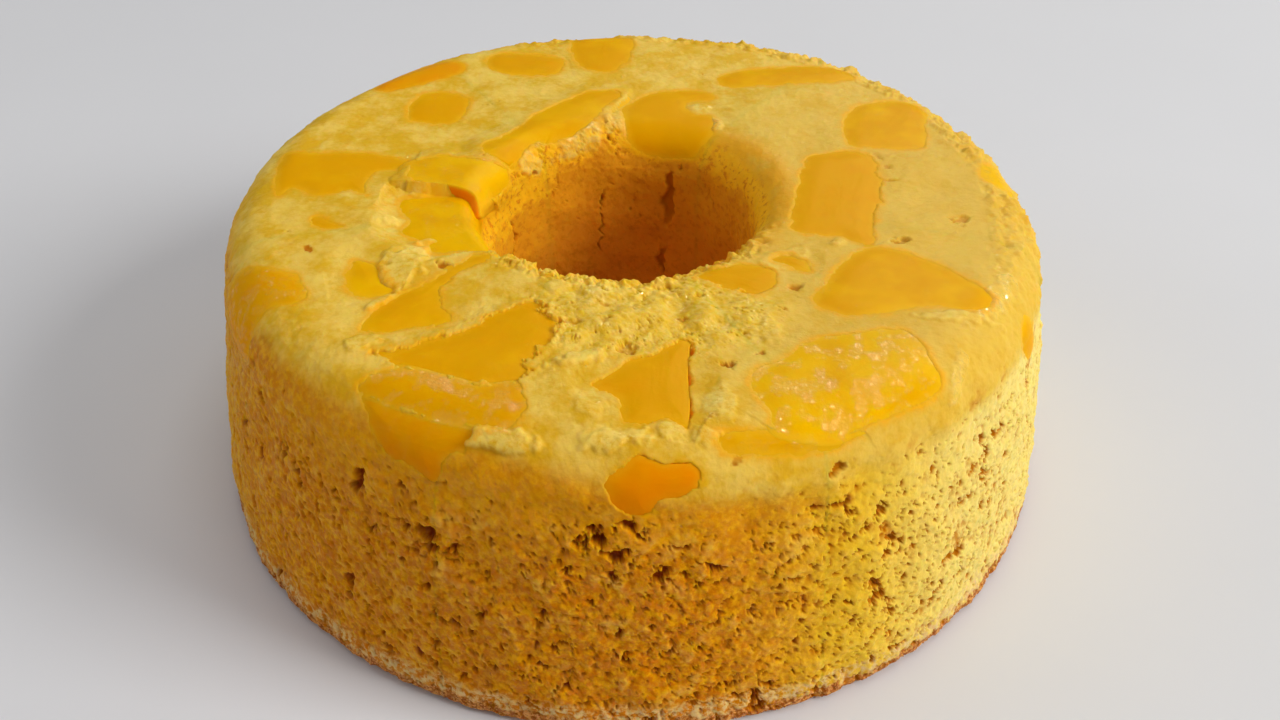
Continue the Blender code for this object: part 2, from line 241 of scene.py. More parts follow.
    def pores(self, place: Wire, size: float, share: float, widths: Spot) -> Wire:
        """Draw round pores of mixed widths, one at most in each cell of a loose net.

        Args:
            place: Where to sample, in millimetres.
            size: The cells' size in millimetres.
            share: The share of cells that hold a pore.
            widths: The narrowest and widest pore, as shares of a cell.

        Returns:
            1 in a pore's middle and 0 outside it.
        """
        cell = self.texture("ShaderNodeTexVoronoi", place, size, "Color")
        distance = Wire(self, cell.socket.node.outputs["Distance"])
        red, green, _ = self.parts(cell)
        width = self.mix(red, *widths)
        return self.step(distance, width, width * 0.35) * self.math("LESS_THAN", green, share)


def mesh_of(name: str, points: Field, triangles: Field) -> bpy.types.Mesh:
    """Make a smooth-shaded mesh from arrays.

    Args:
        name: The mesh's name.
        points: Corner places in metres, one row each.
        triangles: Three corner numbers a row, turning left seen from outside.

    Returns:
        The mesh.
    """
    mesh = bpy.data.meshes.new(name)
    mesh.vertices.add(len(points))
    mesh.vertices.foreach_set("co", np.asarray(points, np.float32).ravel())
    mesh.loops.add(3 * len(triangles))
    mesh.loops.foreach_set("vertex_index", np.asarray(triangles, np.int32).ravel())
    mesh.polygons.add(len(triangles))
    mesh.polygons.foreach_set("loop_start", np.arange(0, 3 * len(triangles), 3, dtype=np.int32))
    mesh.update(calc_edges=True)
    mesh.shade_smooth()
    return mesh


def give(mesh: bpy.types.Mesh, values: dict[str, Field]) -> None:
    """Store numbers at a mesh's points.

    Args:
        mesh: The mesh.
        values: An attribute's name and its numbers, one for each point. Rows of
            three numbers are stored as vectors.
    """
    for name, numbers in values.items():
        if np.ndim(numbers) == 2:
            made = mesh.attributes.new(name, "FLOAT_VECTOR", "POINT")
            made.data.foreach_set("vector", np.asarray(numbers, np.float32).ravel())
        else:
            made = mesh.attributes.new(name, "FLOAT", "POINT")
            made.data.foreach_set("value", np.asarray(numbers, np.float32))


def read(source: bpy.types.bpy_prop_collection, label: str, width: int) -> Field:
    """Read the numbers that each item of a collection holds.

    Args:
        source: The collection.
        label: The name under which its items hold their numbers.
        width: How many numbers each holds.

    Returns:
        One row of numbers for each item.
    """
    numbers = np.zeros((len(source), width), np.float32)
    source.foreach_get(label, numbers.ravel())
    return numbers


def link(name: str, content: bpy.types.ID) -> bpy.types.Object:
    """Put something into the scene as an object at the origin.

    Args:
        name: The object's name.
        content: Its mesh, light or camera.

    Returns:
        The object.
    """
    item = bpy.data.objects.new(name, content)
    bpy.context.scene.collection.objects.link(item)
    return item


def declare(piece: bpy.types.Object, node: str) -> None:
    """Args:
        piece: The finished piece.
        node: The solid that it stands for.
    """
    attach(piece, BODY)
    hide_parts(node)
    LOG.info("%s has %d triangles", piece.name, len(piece.data.polygons))


def worked(mesh: bpy.types.Mesh, tree: bpy.types.NodeTree, sizes: dict[str, float]) -> bpy.types.Mesh:
    """Run a geometry tree on a mesh and keep what it makes as a plain mesh.

    Args:
        mesh: The mesh that the tree works on.
        tree: The geometry tree.
        sizes: The tree's named inputs.

    Returns:
        The new mesh.
    """
    item = link(mesh.name, mesh)
    modifier = item.modifiers.new(tree.name, "NODES")
    modifier.node_group = tree
    sockets = {entry.name: entry.identifier for entry in tree.interface.items_tree}
    for name, value in sizes.items():
        modifier[sockets[name]] = value
    graph = bpy.context.evaluated_depsgraph_get()
    made = bpy.data.meshes.new_from_object(item.evaluated_get(graph))
    bpy.data.objects.remove(item, do_unlink=True)
    return made


def geometry_tree(name: str, sizes: dict[str, float]) -> tuple[Graph, dict[str, Wire]]:
    """Begin a geometry tree with named number inputs.

    Args:
        name: The tree's name.
        sizes: Its inputs' names and usual values.

    Returns:
        The graph, and its inputs' wires by name, with the mesh as Geometry.
    """
    tree = bpy.data.node_groups.new(name, "GeometryNodeTree")
    tree.interface.new_socket(name="Geometry", in_out="INPUT", socket_type="NodeSocketGeometry")
    for label, value in sizes.items():
        entry = tree.interface.new_socket(name=label, in_out="INPUT", socket_type="NodeSocketFloat")
        entry.default_value = value
    tree.interface.new_socket(name="Geometry", in_out="OUTPUT", socket_type="NodeSocketGeometry")
    graph = Graph(tree)
    given = tree.nodes.new("NodeGroupInput").outputs
    return graph, {label: Wire(graph, given[label]) for label in ("Geometry", *sizes)}


def finish_tree(graph: Graph, last: Wire, height: Wire, material: bpy.types.Material) -> bpy.types.NodeTree:
    """End a geometry tree with raised points and real geometry that carries a finish.

    Args:
        graph: The tree's graph.
        last: The geometry's wire.
        height: How far each point rises outwards, in millimetres.
        material: The finish.

    Returns:
        The tree.
    """
    kind = "GeometryNodeInputNamedAttribute"
    outward = graph.made(kind, {"Name": "outward"}, "Attribute", data_type="FLOAT_VECTOR")
    offset = graph.scaled(outward, height * MM)
    last = graph.made("GeometryNodeSetPosition", {"Geometry": last, "Offset": offset})
    last = graph.made("GeometryNodeRealizeInstances", {"Geometry": last})
    last = graph.made("GeometryNodeSetMaterial", {"Geometry": last, "Material": material})
    graph.feed(graph.tree.nodes.new("NodeGroupOutput").inputs["Geometry"], last)
    return graph.tree


def stray_line(graph: Graph, place: Wire, opening: Wire) -> Wire:
    """Let the border between crumb and slice stray from its plain outline.

    Args:
        graph: The graph of the crumb's relief or of a finish.
        place: Where to sample the noise, in millimetres.
        opening: How far the place lies inside the plain outline.

    Returns:
        How far it lies inside the strayed border.
    """
    stray = graph.swing(place, 1.1, 2.0, 0.6) * 0.3 + graph.swing(place, 4.8, 3.0, 0.6)
    stray = stray * graph.attribute("ragged") * 7.0
    return graph.math("MINIMUM", graph.math("MAXIMUM", stray, -FARTHEST_STRAY), FARTHEST_STRAY) + opening


class NamedSizes:
    """Sizes in millimetres that a geometry tree takes as named inputs."""

    def named(self) -> dict[str, float]:
        """The sizes by the names of the tree's inputs."""
        return {name.replace("_", " ").title(): value for name, value in asdict(self).items()}


@dataclass(frozen=True)
class CakeForm:
    """The smooth ring that the crumb's relief stands on."""

    height: float = 70.0 * MM
    foot_radius: float = 102.8 * MM
    shoulder_radius: float = 96.4 * MM
    edge_rounding: float = 13.1 * MM
    foot_rounding: float = 2.4 * MM
    wall_curve: float = 1.6
    hole_centre: Spot = (-2.5 * MM, -3.3 * MM)
    hole_radius: float = 31.8 * MM
    hole_taper: float = 1.0 * MM
    hole_rounding: float = 5.4 * MM
    hole_rounding_back: float = 4.8 * MM
    hole_back_azimuth: float = math.radians(60.0)

    @property
    def shoulder_height(self) -> float:
        """Height at which the wall turns into the rounded edge."""
        return self.height - self.edge_rounding

    @property
    def flat_radius(self) -> float:
        """Where the flat top ends and the outer rounding begins."""
        return self.shoulder_radius - self.edge_rounding

    @property
    def wall_reach(self) -> float:
        """Distance along the skin at which the wall begins."""
        return self.flat_radius + self.edge_rounding * QUARTER

    @property
    def foot_reach(self) -> float:
        """Distance along the skin at which the wall meets the foot's rounding."""
        return self.wall_reach + self.shoulder_height - self.foot_rounding

    def wall_radius(self, height: Field) -> Field:
        """Radius of the outer wall, which narrows upwards."""
        share = np.maximum(height, 0.0) / self.shoulder_height
        return self.foot_radius - (self.foot_radius - self.shoulder_radius) * share ** self.wall_curve

    def rounding_at(self, azimuth: Field) -> Field:
        """Rounding of the hole's upper edge, larger at the back right."""
        facing = 0.5 + 0.5 * np.cos(azimuth - self.hole_back_azimuth)
        return self.hole_rounding + self.hole_rounding_back * facing

    def rim_at(self, azimuth: Field) -> Field:
        """Distance from the hole's centre at which its rounding begins."""
        return self.hole_radius + self.rounding_at(azimuth)

    def bore_radius(self, height: Field) -> Field:
        """Radius of the hole, a little narrower at the foot."""
        return self.hole_radius - self.hole_taper * (1.0 - height / self.height)

    def outer_skin(self, azimuth: Field, reach: Field) -> tuple[Field, Field]:
        """Follow the skin from the middle outwards and down the wall.

        Args:
            azimuth: Direction from the middle, in radians.
            reach: Distance from the middle along the skin.

        Returns:
            Points on the skin and their normals.
        """
        bend = np.clip((reach - self.flat_radius) / self.edge_rounding, 0.0, QUARTER)
        drop = np.maximum(reach - self.wall_reach, 0.0)
        height = self.shoulder_height + self.edge_rounding * np.cos(bend) - drop
        edge = self.flat_radius + self.edge_rounding * np.sin(bend)
        radius = np.where(bend <= 0.0, reach, np.where(drop > 0.0, self.wall_radius(height), edge))
        return ring_points(azimuth, radius, height), ring_points(azimuth, np.sin(bend), np.cos(bend))

    def hole_skin(self, azimuth: Field, inset: Field) -> tuple[Field, Field]:
        """Follow the skin from the hole's rim inwards and down the bore.

        Args:
            azimuth: Direction from the hole's centre, in radians.
            inset: Distance from the rim along the skin.

        Returns:
            Points on the skin and their normals.
        """
        rounding = self.rounding_at(azimuth)
        bend = np.clip(inset / rounding, 0.0, QUARTER)
        drop = np.maximum(inset - rounding * QUARTER, 0.0)
        height = self.height - rounding + rounding * np.cos(bend) - drop
        edge = self.rim_at(azimuth) - rounding * np.sin(bend)
        radius = np.where(drop > 0.0, self.bore_radius(height), edge)
        points = ring_points(azimuth, radius, height)
        points[..., :2] += self.hole_centre
        return points, ring_points(azimuth, -np.sin(bend), np.cos(bend))

    def skin(self, spots: Field) -> tuple[Field, Field]:
        """Find places on the skin by their unrolled x and y.

        Args:
            spots: Unrolled x and y in millimetres, one row each.

        Returns:
            Points on the skin and their normals.
        """
        flat = spots * MM
        from_hole = flat - np.array(self.hole_centre)
        hole_azimuth = np.arctan2(from_hole[:, 1], from_hole[:, 0])
        inset = self.rim_at(hole_azimuth) - np.hypot(from_hole[:, 0], from_hole[:, 1])
        inner = self.hole_skin(hole_azimuth, np.maximum(inset, 0.0))
        outer = self.outer_skin(np.arctan2(flat[:, 1], flat[:, 0]), np.hypot(flat[:, 0], flat[:, 1]))
        in_hole = (inset > 0.0)[:, None]
        return np.where(in_hole, inner[0], outer[0]), np.where(in_hole, inner[1], outer[1])


def turned(x: Field, y: Field, turn: float) -> tuple[Field, Field]:
    """Split offsets into their parts along a direction in radians and to its left."""
    return x * math.cos(turn) + y * math.sin(turn), y * math.cos(turn) - x * math.sin(turn)


def ring_points(azimuth: Field, radius: Field, height: Field) -> Field:
    """Turn directions, radii and heights round the axis into places.

    Args:
        azimuth: Directions in radians.
        radius: Distances from the axis.
        height: Heights.

    Returns:
        One row of x, y and z for each.
    """
    azimuth, radius, height = np.broadcast_arrays(azimuth, radius, height)
    return np.stack([radius * np.cos(azimuth), radius * np.sin(azimuth), height], axis=-1)


@dataclass(frozen=True)
class BroadRelief:
    """The crumb's broad swells and dents, which the solids have too."""

    swell_length: float = 46.0 * MM
    swell_depth: float = 0.9 * MM
    skin_length: float = 13.0 * MM
    skin_depth: float = 0.5 * MM
    wall_length: float = 9.0 * MM
    wall_depth: float = 0.9 * MM
    torn_length: float = 6.0 * MM
    torn_depth: float = 1.5 * MM
    torn_centre: Spot = (4.0 * MM, -50.0 * MM)
    torn_half: Spot = (30.0 * MM, 17.0 * MM)
    torn_fade: Spot = (0.7, 1.1)
    foot_fade: float = 8.0 * MM

    def torn(self, points: Field, form: CakeForm) -> Field:
        """Say where the top's skin has torn away in front of the hole.

        Args:
            points: Places on the skin.
            form: The smooth ring.

        Returns:
            1 in the torn patch and 0 away from it.
        """
        offset = (points[:, :2] - self.torn_centre) / self.torn_half
        level = smooth(form.shoulder_height, form.height, points[:, 2])
        return level * (1.0 - smooth(*self.torn_fade, np.hypot(offset[:, 0], offset[:, 1])))

    def swell(self, points: Field) -> Field:
        """How far the whole skin bulges or sinks at points of the smooth ring."""
        height = noise_at(points, self.swell_length) * self.swell_depth
        return height * smooth(0.0, self.foot_fade, points[:, 2])

    def rise(self, points: Field, normals: Field, form: CakeForm) -> Field:
        """How far the crumb stands out of the smooth ring.

        Args:
            points: Places on the smooth ring.
            normals: Their normals.
            form: The smooth ring.

        Returns:
            The rise in metres at each place.
        """
        steep = 1.0 - np.abs(normals[:, 2])
        height = noise_at(points, self.skin_length) * self.skin_depth * (1.0 - steep)
        height += noise_at(points, self.wall_length) * self.wall_depth * steep
        height += noise_at(points, self.torn_length) * self.torn_depth * self.torn(points, form)
        return self.swell(points) + height * smooth(0.0, self.foot_fade, points[:, 2])


@dataclass(frozen=True)
class EdgeStyle:
    """How the crumb meets a slice, in millimetres.

    Attributes:
        ragged: How far the crumb's line strays from the plain outline.
        width: Over what distance the crumb dips under the slice.
        lip: How far the crumb stands up along the line.
        film: How far a thin film of batter reaches over the slice.
        tuck: How far the slice reaches under the crumb.
    """

    ragged: float
    width: float
    lip: float
    film: float
    tuck: float


class Edge(Enum):
    """The kinds of border between crumb and slice."""

    SOFT = EdgeStyle(ragged=0.55, width=4.2, lip=0.0, film=2.4, tuck=4.4)
    PLAIN = EdgeStyle(ragged=0.65, width=3.0, lip=0.05, film=0.9, tuck=3.6)
    TORN = EdgeStyle(ragged=1.3, width=1.4, lip=0.35, film=0.4, tuck=3.2)
    CRACKED = EdgeStyle(ragged=0.5, width=1.0, lip=0.15, film=0.2, tuck=3.0)


@dataclass(frozen=True)
class MangoSlice:
    """One slice of mango, by its shape on the unrolled skin in millimetres.

    Attributes:
        name: The slice's name, which is also its node's.
        x: Place of its middle to the right.
        y: Place of its middle to the back.
        length: Its length.
        width: Its width.
        turn: Direction of its length in degrees.
        taper: How much wider its far end is.
        bow: How far its middle is bent aside.
        square: Squareness of its outline.
        sink: How far it lies below the skin.
        edge: How the crumb meets it.
        tone: 0 for pale yellow flesh, 1 for deep orange.
        wet: How much of it glistens.
        shows: Where the crumb leaves it bare, if not all over its outline.
        open_side: Direction in degrees of a side that no crumb covers, if any.
    """

    name: str
    x: float
    y: float
    length: float
    width: float
    turn: float
    taper: float
    bow: float
    square: float
    sink: float
    edge: Edge = Edge.PLAIN
    tone: float = 0.4
    wet: float = 0.04
    shows: tuple[Spot, ...] = ()
    open_side: float | None = None

    def outline(self, sides: int = 48) -> Field:
        """The slice's own outline as the solids have it.

        Args:
            sides: How many points it gets.

        Returns:
            One row of x and y for each point.
        """
        step = 2.0 * math.pi * (np.arange(sides) + 0.5) / sides
        power = 2.0 / self.square
        along = np.sign(np.cos(step)) * np.abs(np.cos(step)) ** power
        across = np.sign(np.sin(step)) * np.abs(np.sin(step)) ** power
        a = 0.5 * self.length * along
        b = 0.5 * self.width * across * (1.0 + self.taper * along) + self.bow * (1.0 - along * along)
        turn = math.radians(self.turn)
        x = self.x + a * math.cos(turn) - b * math.sin(turn)
        return np.stack([x, self.y + a * math.sin(turn) + b * math.cos(turn)], axis=1)

    def opening(self) -> Field:
        """The line within which the crumb leaves the slice bare."""
        return rounded(np.array(self.shows), 5) if self.shows else self.outline()

    def axis(self) -> Field:
        """Unit direction of the slice's length on the unrolled skin."""
        return np.array([math.cos(math.radians(self.turn)), math.sin(math.radians(self.turn))])


def rounded(corners: Field, pieces: int) -> Field:
    """Draw a smooth closed curve through a few corners.

    Args:
        corners: One row of x and y for each corner.
        pieces: How many points each stretch gets.

    Returns:
        The curve's points.
    """
    before, after, next_but_one = (np.roll(corners, shift, axis=0) for shift in (1, -1, -2))
    points = []
    for share in np.arange(pieces) / pieces:
        bend = 2.0 * before - 5.0 * corners + 4.0 * after - next_but_one
        turn = 3.0 * corners - 3.0 * after + next_but_one - before
        slope = after - before
        points.append(corners + 0.5 * share * (slope + share * (bend + share * turn)))
    return np.stack(points, axis=1).reshape(-1, 2)


def inside(spots: Field, line: Field) -> Field:
    """Measure how far places lie inside a closed line.

    Args:
        spots: One row of x and y for each place.
        line: The line's points.

    Returns:
        The distance to the line, positive inside and negative outside.
    """
    after = np.roll(line, -1, axis=0)
    side = after - line
    offset = spots[:, None, :] - line[None]
    share = np.clip((offset * side).sum(-1) / (side * side).sum(-1), 0.0, 1.0)
    away = offset - share[..., None] * side
    distance = np.sqrt((away * away).sum(-1).min(axis=1))
    spans = (line[None, :, 1] > spots[:, None, 1]) != (after[None, :, 1] > spots[:, None, 1])
    slope = np.where(side[:, 1] == 0.0, 1.0, side[:, 1])
    crossing = line[:, 0] + (spots[:, None, 1] - line[:, 1]) * side[:, 0] / slope
    within = (spans & (spots[:, None, 0] < crossing)).sum(axis=1) % 2 == 1
    return np.where(within, distance, -distance)


MANGO = (
    MangoSlice("mango_rim_back", -8.5, 76.5, 27, 18, 88, 0.25, 0.0, 2.6, 0.2, Edge.SOFT, 0.4),
    MangoSlice("mango_rim_back_left", -29.5, 68.5, 22, 14, -8, 0.05, -1.0, 2.6, 0.3, Edge.SOFT, 0.5),
    MangoSlice("mango_edge_back_left", -57.5, 60.0, 27, 12, 33, 0.10, 1.0, 2.6, 0.2, Edge.SOFT, 0.8),
    MangoSlice(
        "mango_top_back_left", -51.5, 41.5, 19, 16, 80, 0.15, 0.0, 3.0, 0.3, Edge.SOFT, 0.5,
        shows=((-58, 36), (-58.5, 45), (-55, 51.5), (-48, 51), (-42.5, 47.5), (-43, 40), (-47, 34)),
    ),
    MangoSlice(
        "mango_long_back_left", -22.0, 37.0, 43, 13, 49, 0.10, -1.0, 3.0, -0.6, Edge.PLAIN, 0.35,
        shows=((-37, 21.5), (-30.5, 28.5), (-26, 36), (-20, 43), (-13, 49.5), (-6, 51.5), (-2.5, 48),
               (-7.5, 41.5), (-9.5, 35), (-13, 30.5), (-17, 27.5), (-24.5, 23.5), (-27.5, 17.5),
               (-29, 14.5), (-36, 16.5)),
        open_side=256,
    ),
    MangoSlice(
        "mango_top_left", -72.0, 9.0, 27, 19, 4, 0.05, -1.0, 3.2, 0.3, Edge.SOFT, 0.5,
        shows=((-86, 17.5), (-78, 18), (-65, 18.5), (-55, 15), (-53, 10.5), (-61, 9), (-63, 3), (-62, -3),
               (-67, -0.5), (-74, -3), (-80, 1), (-83, -3), (-86, 6)),
    ),
    MangoSlice(
        "mango_hole_left_upper", -41.0, 11.0, 32, 11, -6, 0.0, 1.5, 2.8, -0.8, Edge.PLAIN, 0.25, 0.2,
        shows=((-54.5, 11), (-48, 16), (-43, 15), (-37, 14), (-31.5, 14.5), (-28.5, 12), (-29.5, 7.5),
               (-32.5, 2), (-35.5, -3), (-39, -1.5), (-45.5, 1.2), (-51.5, 3)),
        open_side=246,
    ),
    MangoSlice(
        "mango_hole_left_lower", -42.5, -8.0, 29, 15, -33, 0.0, 0.0, 2.8, 2.2, Edge.PLAIN, 0.2, 0.2,
        shows=((-55.5, -1), (-55, -7), (-52, -11), (-53.5, -15.5), (-48, -21), (-45, -24.5), (-37, -24),
               (-30, -25), (-27, -14), (-26, -3), (-29, 1.5), (-36, 1), (-44, 1), (-50, 1)),
    ),
    MangoSlice(
        "mango_hole_left_front", -47.0, -43.0, 30, 13, 57, -0.15, -2.0, 2.8, 0.4, Edge.PLAIN, 0.4,
        shows=((-31, -27), (-37, -29.5), (-43, -36.5), (-51, -44), (-55, -52), (-54.5, -57), (-44, -54.5),
               (-37, -52), (-40.5, -43), (-37.5, -34.5), (-32, -31)),
    ),
    MangoSlice(
        "mango_top_left_small", -59.5, -34.0, 13, 7, 75, 0.0, 0.0, 2.4, 0.8, Edge.SOFT, 0.3,
        shows=((-62, -31), (-60, -28.5), (-55, -31.5), (-52, -36.5), (-50, -41), (-55.5, -43.5), (-61, -41)),
    ),
    MangoSlice(
        "mango_top_left_sliver", -70.5, -13.5, 8, 5.5, -30, 0.0, 0.0, 2.2, 0.4, Edge.PLAIN, 0.5,
        shows=((-73.5, -12), (-69.5, -12.5), (-65.5, -16), (-70.5, -17), (-73.5, -15)),
    ),
    MangoSlice(
        "mango_edge_left", -82.0, -43.0, 29, 21, -37, -0.1, 1.0, 2.6, 0.3, Edge.SOFT, 0.55, 0.4,
        shows=((-86.5, -30.5), (-76.5, -33.5), (-71, -37), (-68, -42.5), (-70, -47), (-75.5, -47),
               (-79.5, -50), (-82.5, -54), (-87, -55.5), (-92, -51), (-94, -42), (-93, -35)),
    ),
    MangoSlice(
        "mango_front_left_top", -33.5, -60.4, 38, 16.0, 27, 0.28, 0.0, 2.8, 0.4, Edge.TORN, 0.5,
        shows=((-51, -63), (-42, -59), (-34.5, -56), (-27, -48.5), (-20, -46.5), (-16, -53.5), (-16.5, -60),
               (-20, -66), (-21, -72.5), (-29, -74), (-38, -71), (-46, -67.5)),
    ),
    MangoSlice(
        "mango_front_left_edge", -40.5, -78.4, 40, 8.5, -20, 0.0, -0.5, 2.8, 0.2, Edge.PLAIN, 0.5, 0.9,
        shows=((-54, -73), (-46, -68), (-37, -71), (-29, -74), (-21.5, -73.5), (-20, -79), (-21.5, -85.5),
               (-30, -85), (-38, -82.5), (-47, -78)),
    ),
    MangoSlice(
        "mango_front_left_wall", -46.0, -88.3, 29, 9, -24, 0.0, 0.0, 2.6, 0.3, Edge.PLAIN, 0.7, 0.15,
        shows=((-53, -75), (-47, -77.5), (-38, -82), (-29, -85.5), (-31.5, -89), (-36, -90.5), (-38.5, -94),
               (-41.5, -95.5), (-45, -91.5), (-50, -87)),
    ),
    MangoSlice(
        "mango_front_middle", 3.5, -73.0, 26, 17, 90, -0.05, 0.0, 4.0, 1.0, Edge.CRACKED, 0.55,
        shows=((9, -59), (12, -60.5), (11.5, -71), (11.6, -80), (10.5, -86.5), (7, -83.5), (3, -85.5),
               (-2, -85), (-2.5, -78), (-7.5, -74), (-6, -71.5), (-1, -66), (4, -63.5)),
        open_side=0,
    ),
    MangoSlice(
        "mango_front_wall", 3.0, -99.0, 17, 11, 4, 0.2, 0.0, 2.6, 0.2, Edge.CRACKED, 0.9, 0.0,
        shows=((1, -91.8), (6, -93.2), (11, -93.3), (13.2, -96), (10.5, -99), (6, -100.5), (2.5, -104.5),
               (-3.5, -102), (-5, -97), (-2, -94.5)),
        open_side=90,
    ),
    MangoSlice(
        "mango_front_right", 43.5, -72.6, 44, 21.5, 38, 0.0, 1.0, 2.6, 0.1, Edge.SOFT, 0.2, 1.0,
        shows=((22.5, -71), (29, -67), (36, -60), (46, -57.5), (56, -56.5), (60, -65), (62.5, -71),
               (55, -77.5), (46, -83), (38, -87), (28, -87), (25, -82)),
    ),
    MangoSlice(
        "mango_front_right_edge", 25.5, -93.6, 26, 6.5, 4, 0.0, 0.0, 2.6, 0.3, Edge.SOFT, 0.35, 0.6,
        shows=((15.5, -87), (27, -86), (38, -85.5), (45, -84), (40, -88.5), (32, -90.5), (22, -92),
               (16.5, -91)),
    ),
    MangoSlice(
        "mango_right_front", 57.5, -38.5, 38, 22, 6, 0.0, 2.0, 2.6, 0.2, Edge.SOFT, 0.4,
        shows=((38, -47), (41, -40), (46, -31), (52, -25.5), (59, -26), (66, -31), (73, -38), (77.5, -44),
               (73, -49.5), (62, -48.5), (54, -51), (44, -52.5)),
    ),
    MangoSlice(
        "mango_hole_right_front", 23.0, -38.5, 16, 11, -28, 0.0, 0.0, 2.4, 0.3, Edge.PLAIN, 0.5,
        shows=((13, -37), (17, -33.5), (23, -32), (29, -33.5), (31, -39), (26.5, -44), (20.5, -42)),
    ),
    MangoSlice(
        "mango_hole_right_small", 34.5, -29.0, 8, 6.5, -20, 0.0, 0.0, 2.2, 0.4, Edge.SOFT, 0.45,
        shows=((29.5, -30), (34, -27.5), (38, -30), (38.5, -35), (34, -34)),
    ),
    MangoSlice(
        "mango_right_long", 48.0, -1.0, 37, 19, 78, -0.1, 1.0, 3.0, 0.4, Edge.PLAIN, 0.55,
        shows=((42, 12.5), (47, 17), (57, 18), (60, 11), (58.5, -4), (56, -14), (53.5, -25), (50, -23.5),
               (46, -20.5), (38, -20), (36, -15), (38.5, -1.5)),
    ),
    MangoSlice(
        "mango_right_back", 65.0, 33.0, 27, 22, 60, -0.1, 0.0, 2.8, 0.2, Edge.SOFT, 0.4,
        shows=((54, 21), (54, 33), (59, 43), (68, 46), (76.5, 45), (75.5, 33), (73, 20.5), (63, 19.5)),
    ),
    MangoSlice("mango_back_right_long", 42.0, 60.0, 38, 11.5, 5, 0.0, 1.0, 2.8, 0.3, Edge.SOFT, 0.4),
    MangoSlice(
        "mango_hole_back", 9.5, 40.0, 33, 24, 88, 0.05, 0.0, 3.0, 0.4, Edge.SOFT, 0.5,
        shows=((-2.5, 42), (3, 50), (10, 53), (19, 53), (22.5, 48.5), (15, 45.5), (15.5, 41), (21.5, 38),
               (21, 30), (15, 22.5), (8, 24), (-0.5, 28)),
    ),
    MangoSlice(
        "mango_edge_right", 89.5, 10.5, 15, 10, 78, 0.0, 0.0, 2.4, 0.3, Edge.SOFT, 0.1, 0.3,
        shows=((84, 10), (88, 15.5), (93, 17.5), (95, 9.5), (91, 3.5), (85.5, 4.5)),
    ),
    MangoSlice("mango_edge_right_front", 94.0, -45.0, 16, 9, 20, 0.0, 0.0, 2.4, 0.3, Edge.SOFT, 0.2),
    MangoSlice("mango_edge_back_right", 20.0, 94.0, 25, 13, -14, 0.1, 1.0, 2.6, 0.3, Edge.SOFT, 0.4),
    MangoSlice("mango_edge_back", -27.0, 93.5, 19, 12, 24, 0.0, 0.0, 2.6, 0.3, Edge.SOFT, 0.4),
)


@dataclass(frozen=True)
class Hollow:
    """A cavity of the crumb: place, width, height, depth in millimetres and lean in degrees."""

    x: float
    y: float
    width: float
    height: float
    depth: float
    lean: float

    def nearness(self, spots: Field) -> Field:
        """Say how deep inside the cavity places on the unrolled skin are.

        Args:
            spots: One row of x and y for each place.

        Returns:
            1 in its middle, 0 on its rim and less than 0 outside.
        """
        outward, along = turned(*(spots - (self.x, self.y)).T, math.atan2(self.y, self.x))
        across, up = turned(along, outward, math.radians(self.lean))
        return 1.0 - np.hypot(across / (0.5 * self.width), up / (0.5 * self.height))


HOLLOWS = (
    Hollow(-61.0, -91.5, 4.0, 8.5, 3.5, 20),
    Hollow(-47.0, -106.5, 4.5, 8.5, 5.0, 10),
    Hollow(-7.5, -109.5, 9.0, 5.5, 5.5, 8),
    Hollow(-3.5, -113.5, 5.0, 4.0, 3.5, -30),
    Hollow(0.5, -106.8, 6.0, 2.6, 3.0, 25),
    Hollow(67.0, -118.0, 6.5, 5.0, 4.0, -20),
    Hollow(42.0, -91.8, 5.0, 2.4, 2.5, 0),
    Hollow(-79.0, -111.0, 4.0, 4.5, 3.0, 15),
    Hollow(18.0, -68.0, 4.5, 3.0, 2.0, 20),
    Hollow(35.0, -41.0, 4.0, 2.2, 1.8, 15),
    Hollow(59.5, -22.5, 4.0, 3.5, 2.0, 60),
    Hollow(-41.0, -31.5, 4.5, 2.5, 1.8, -15),
)


PINPRICKS = (
    Hollow(75.0, -13.0, 4.4, 3.4, 1.2, 10),
    Hollow(60.5, 4.0, 6.0, 1.8, 0.9, 80),
    Hollow(62.0, 11.0, 2.4, 1.8, 0.8, 60),
    Hollow(60.5, 15.5, 2.8, 2.2, 0.8, 0),
    Hollow(-40.5, -26.0, 2.8, 2.2, 1.0, 0),
    Hollow(25.5, -64.0, 1.8, 1.4, 0.8, 0),
    Hollow(19.0, -57.5, 1.3, 2.0, 0.8, 20),
    Hollow(10.0, -52.0, 2.2, 1.0, 0.6, 40),
    Hollow(-6.0, -47.5, 2.8, 1.5, 0.6, 10),
    Hollow(19.5, -92.0, 2.6, 2.6, 1.2, 0),
    Hollow(-1.0, -62.0, 5.0, 4.4, 1.6, 30),
    Hollow(-13.5, -53.0, 4.6, 2.4, 1.2, 10),
    Hollow(15.0, -83.5, 2.6, 2.0, 0.5, 0),
    Hollow(-71.5, -25.5, 5.0, 1.8, 0.3, 170),
)


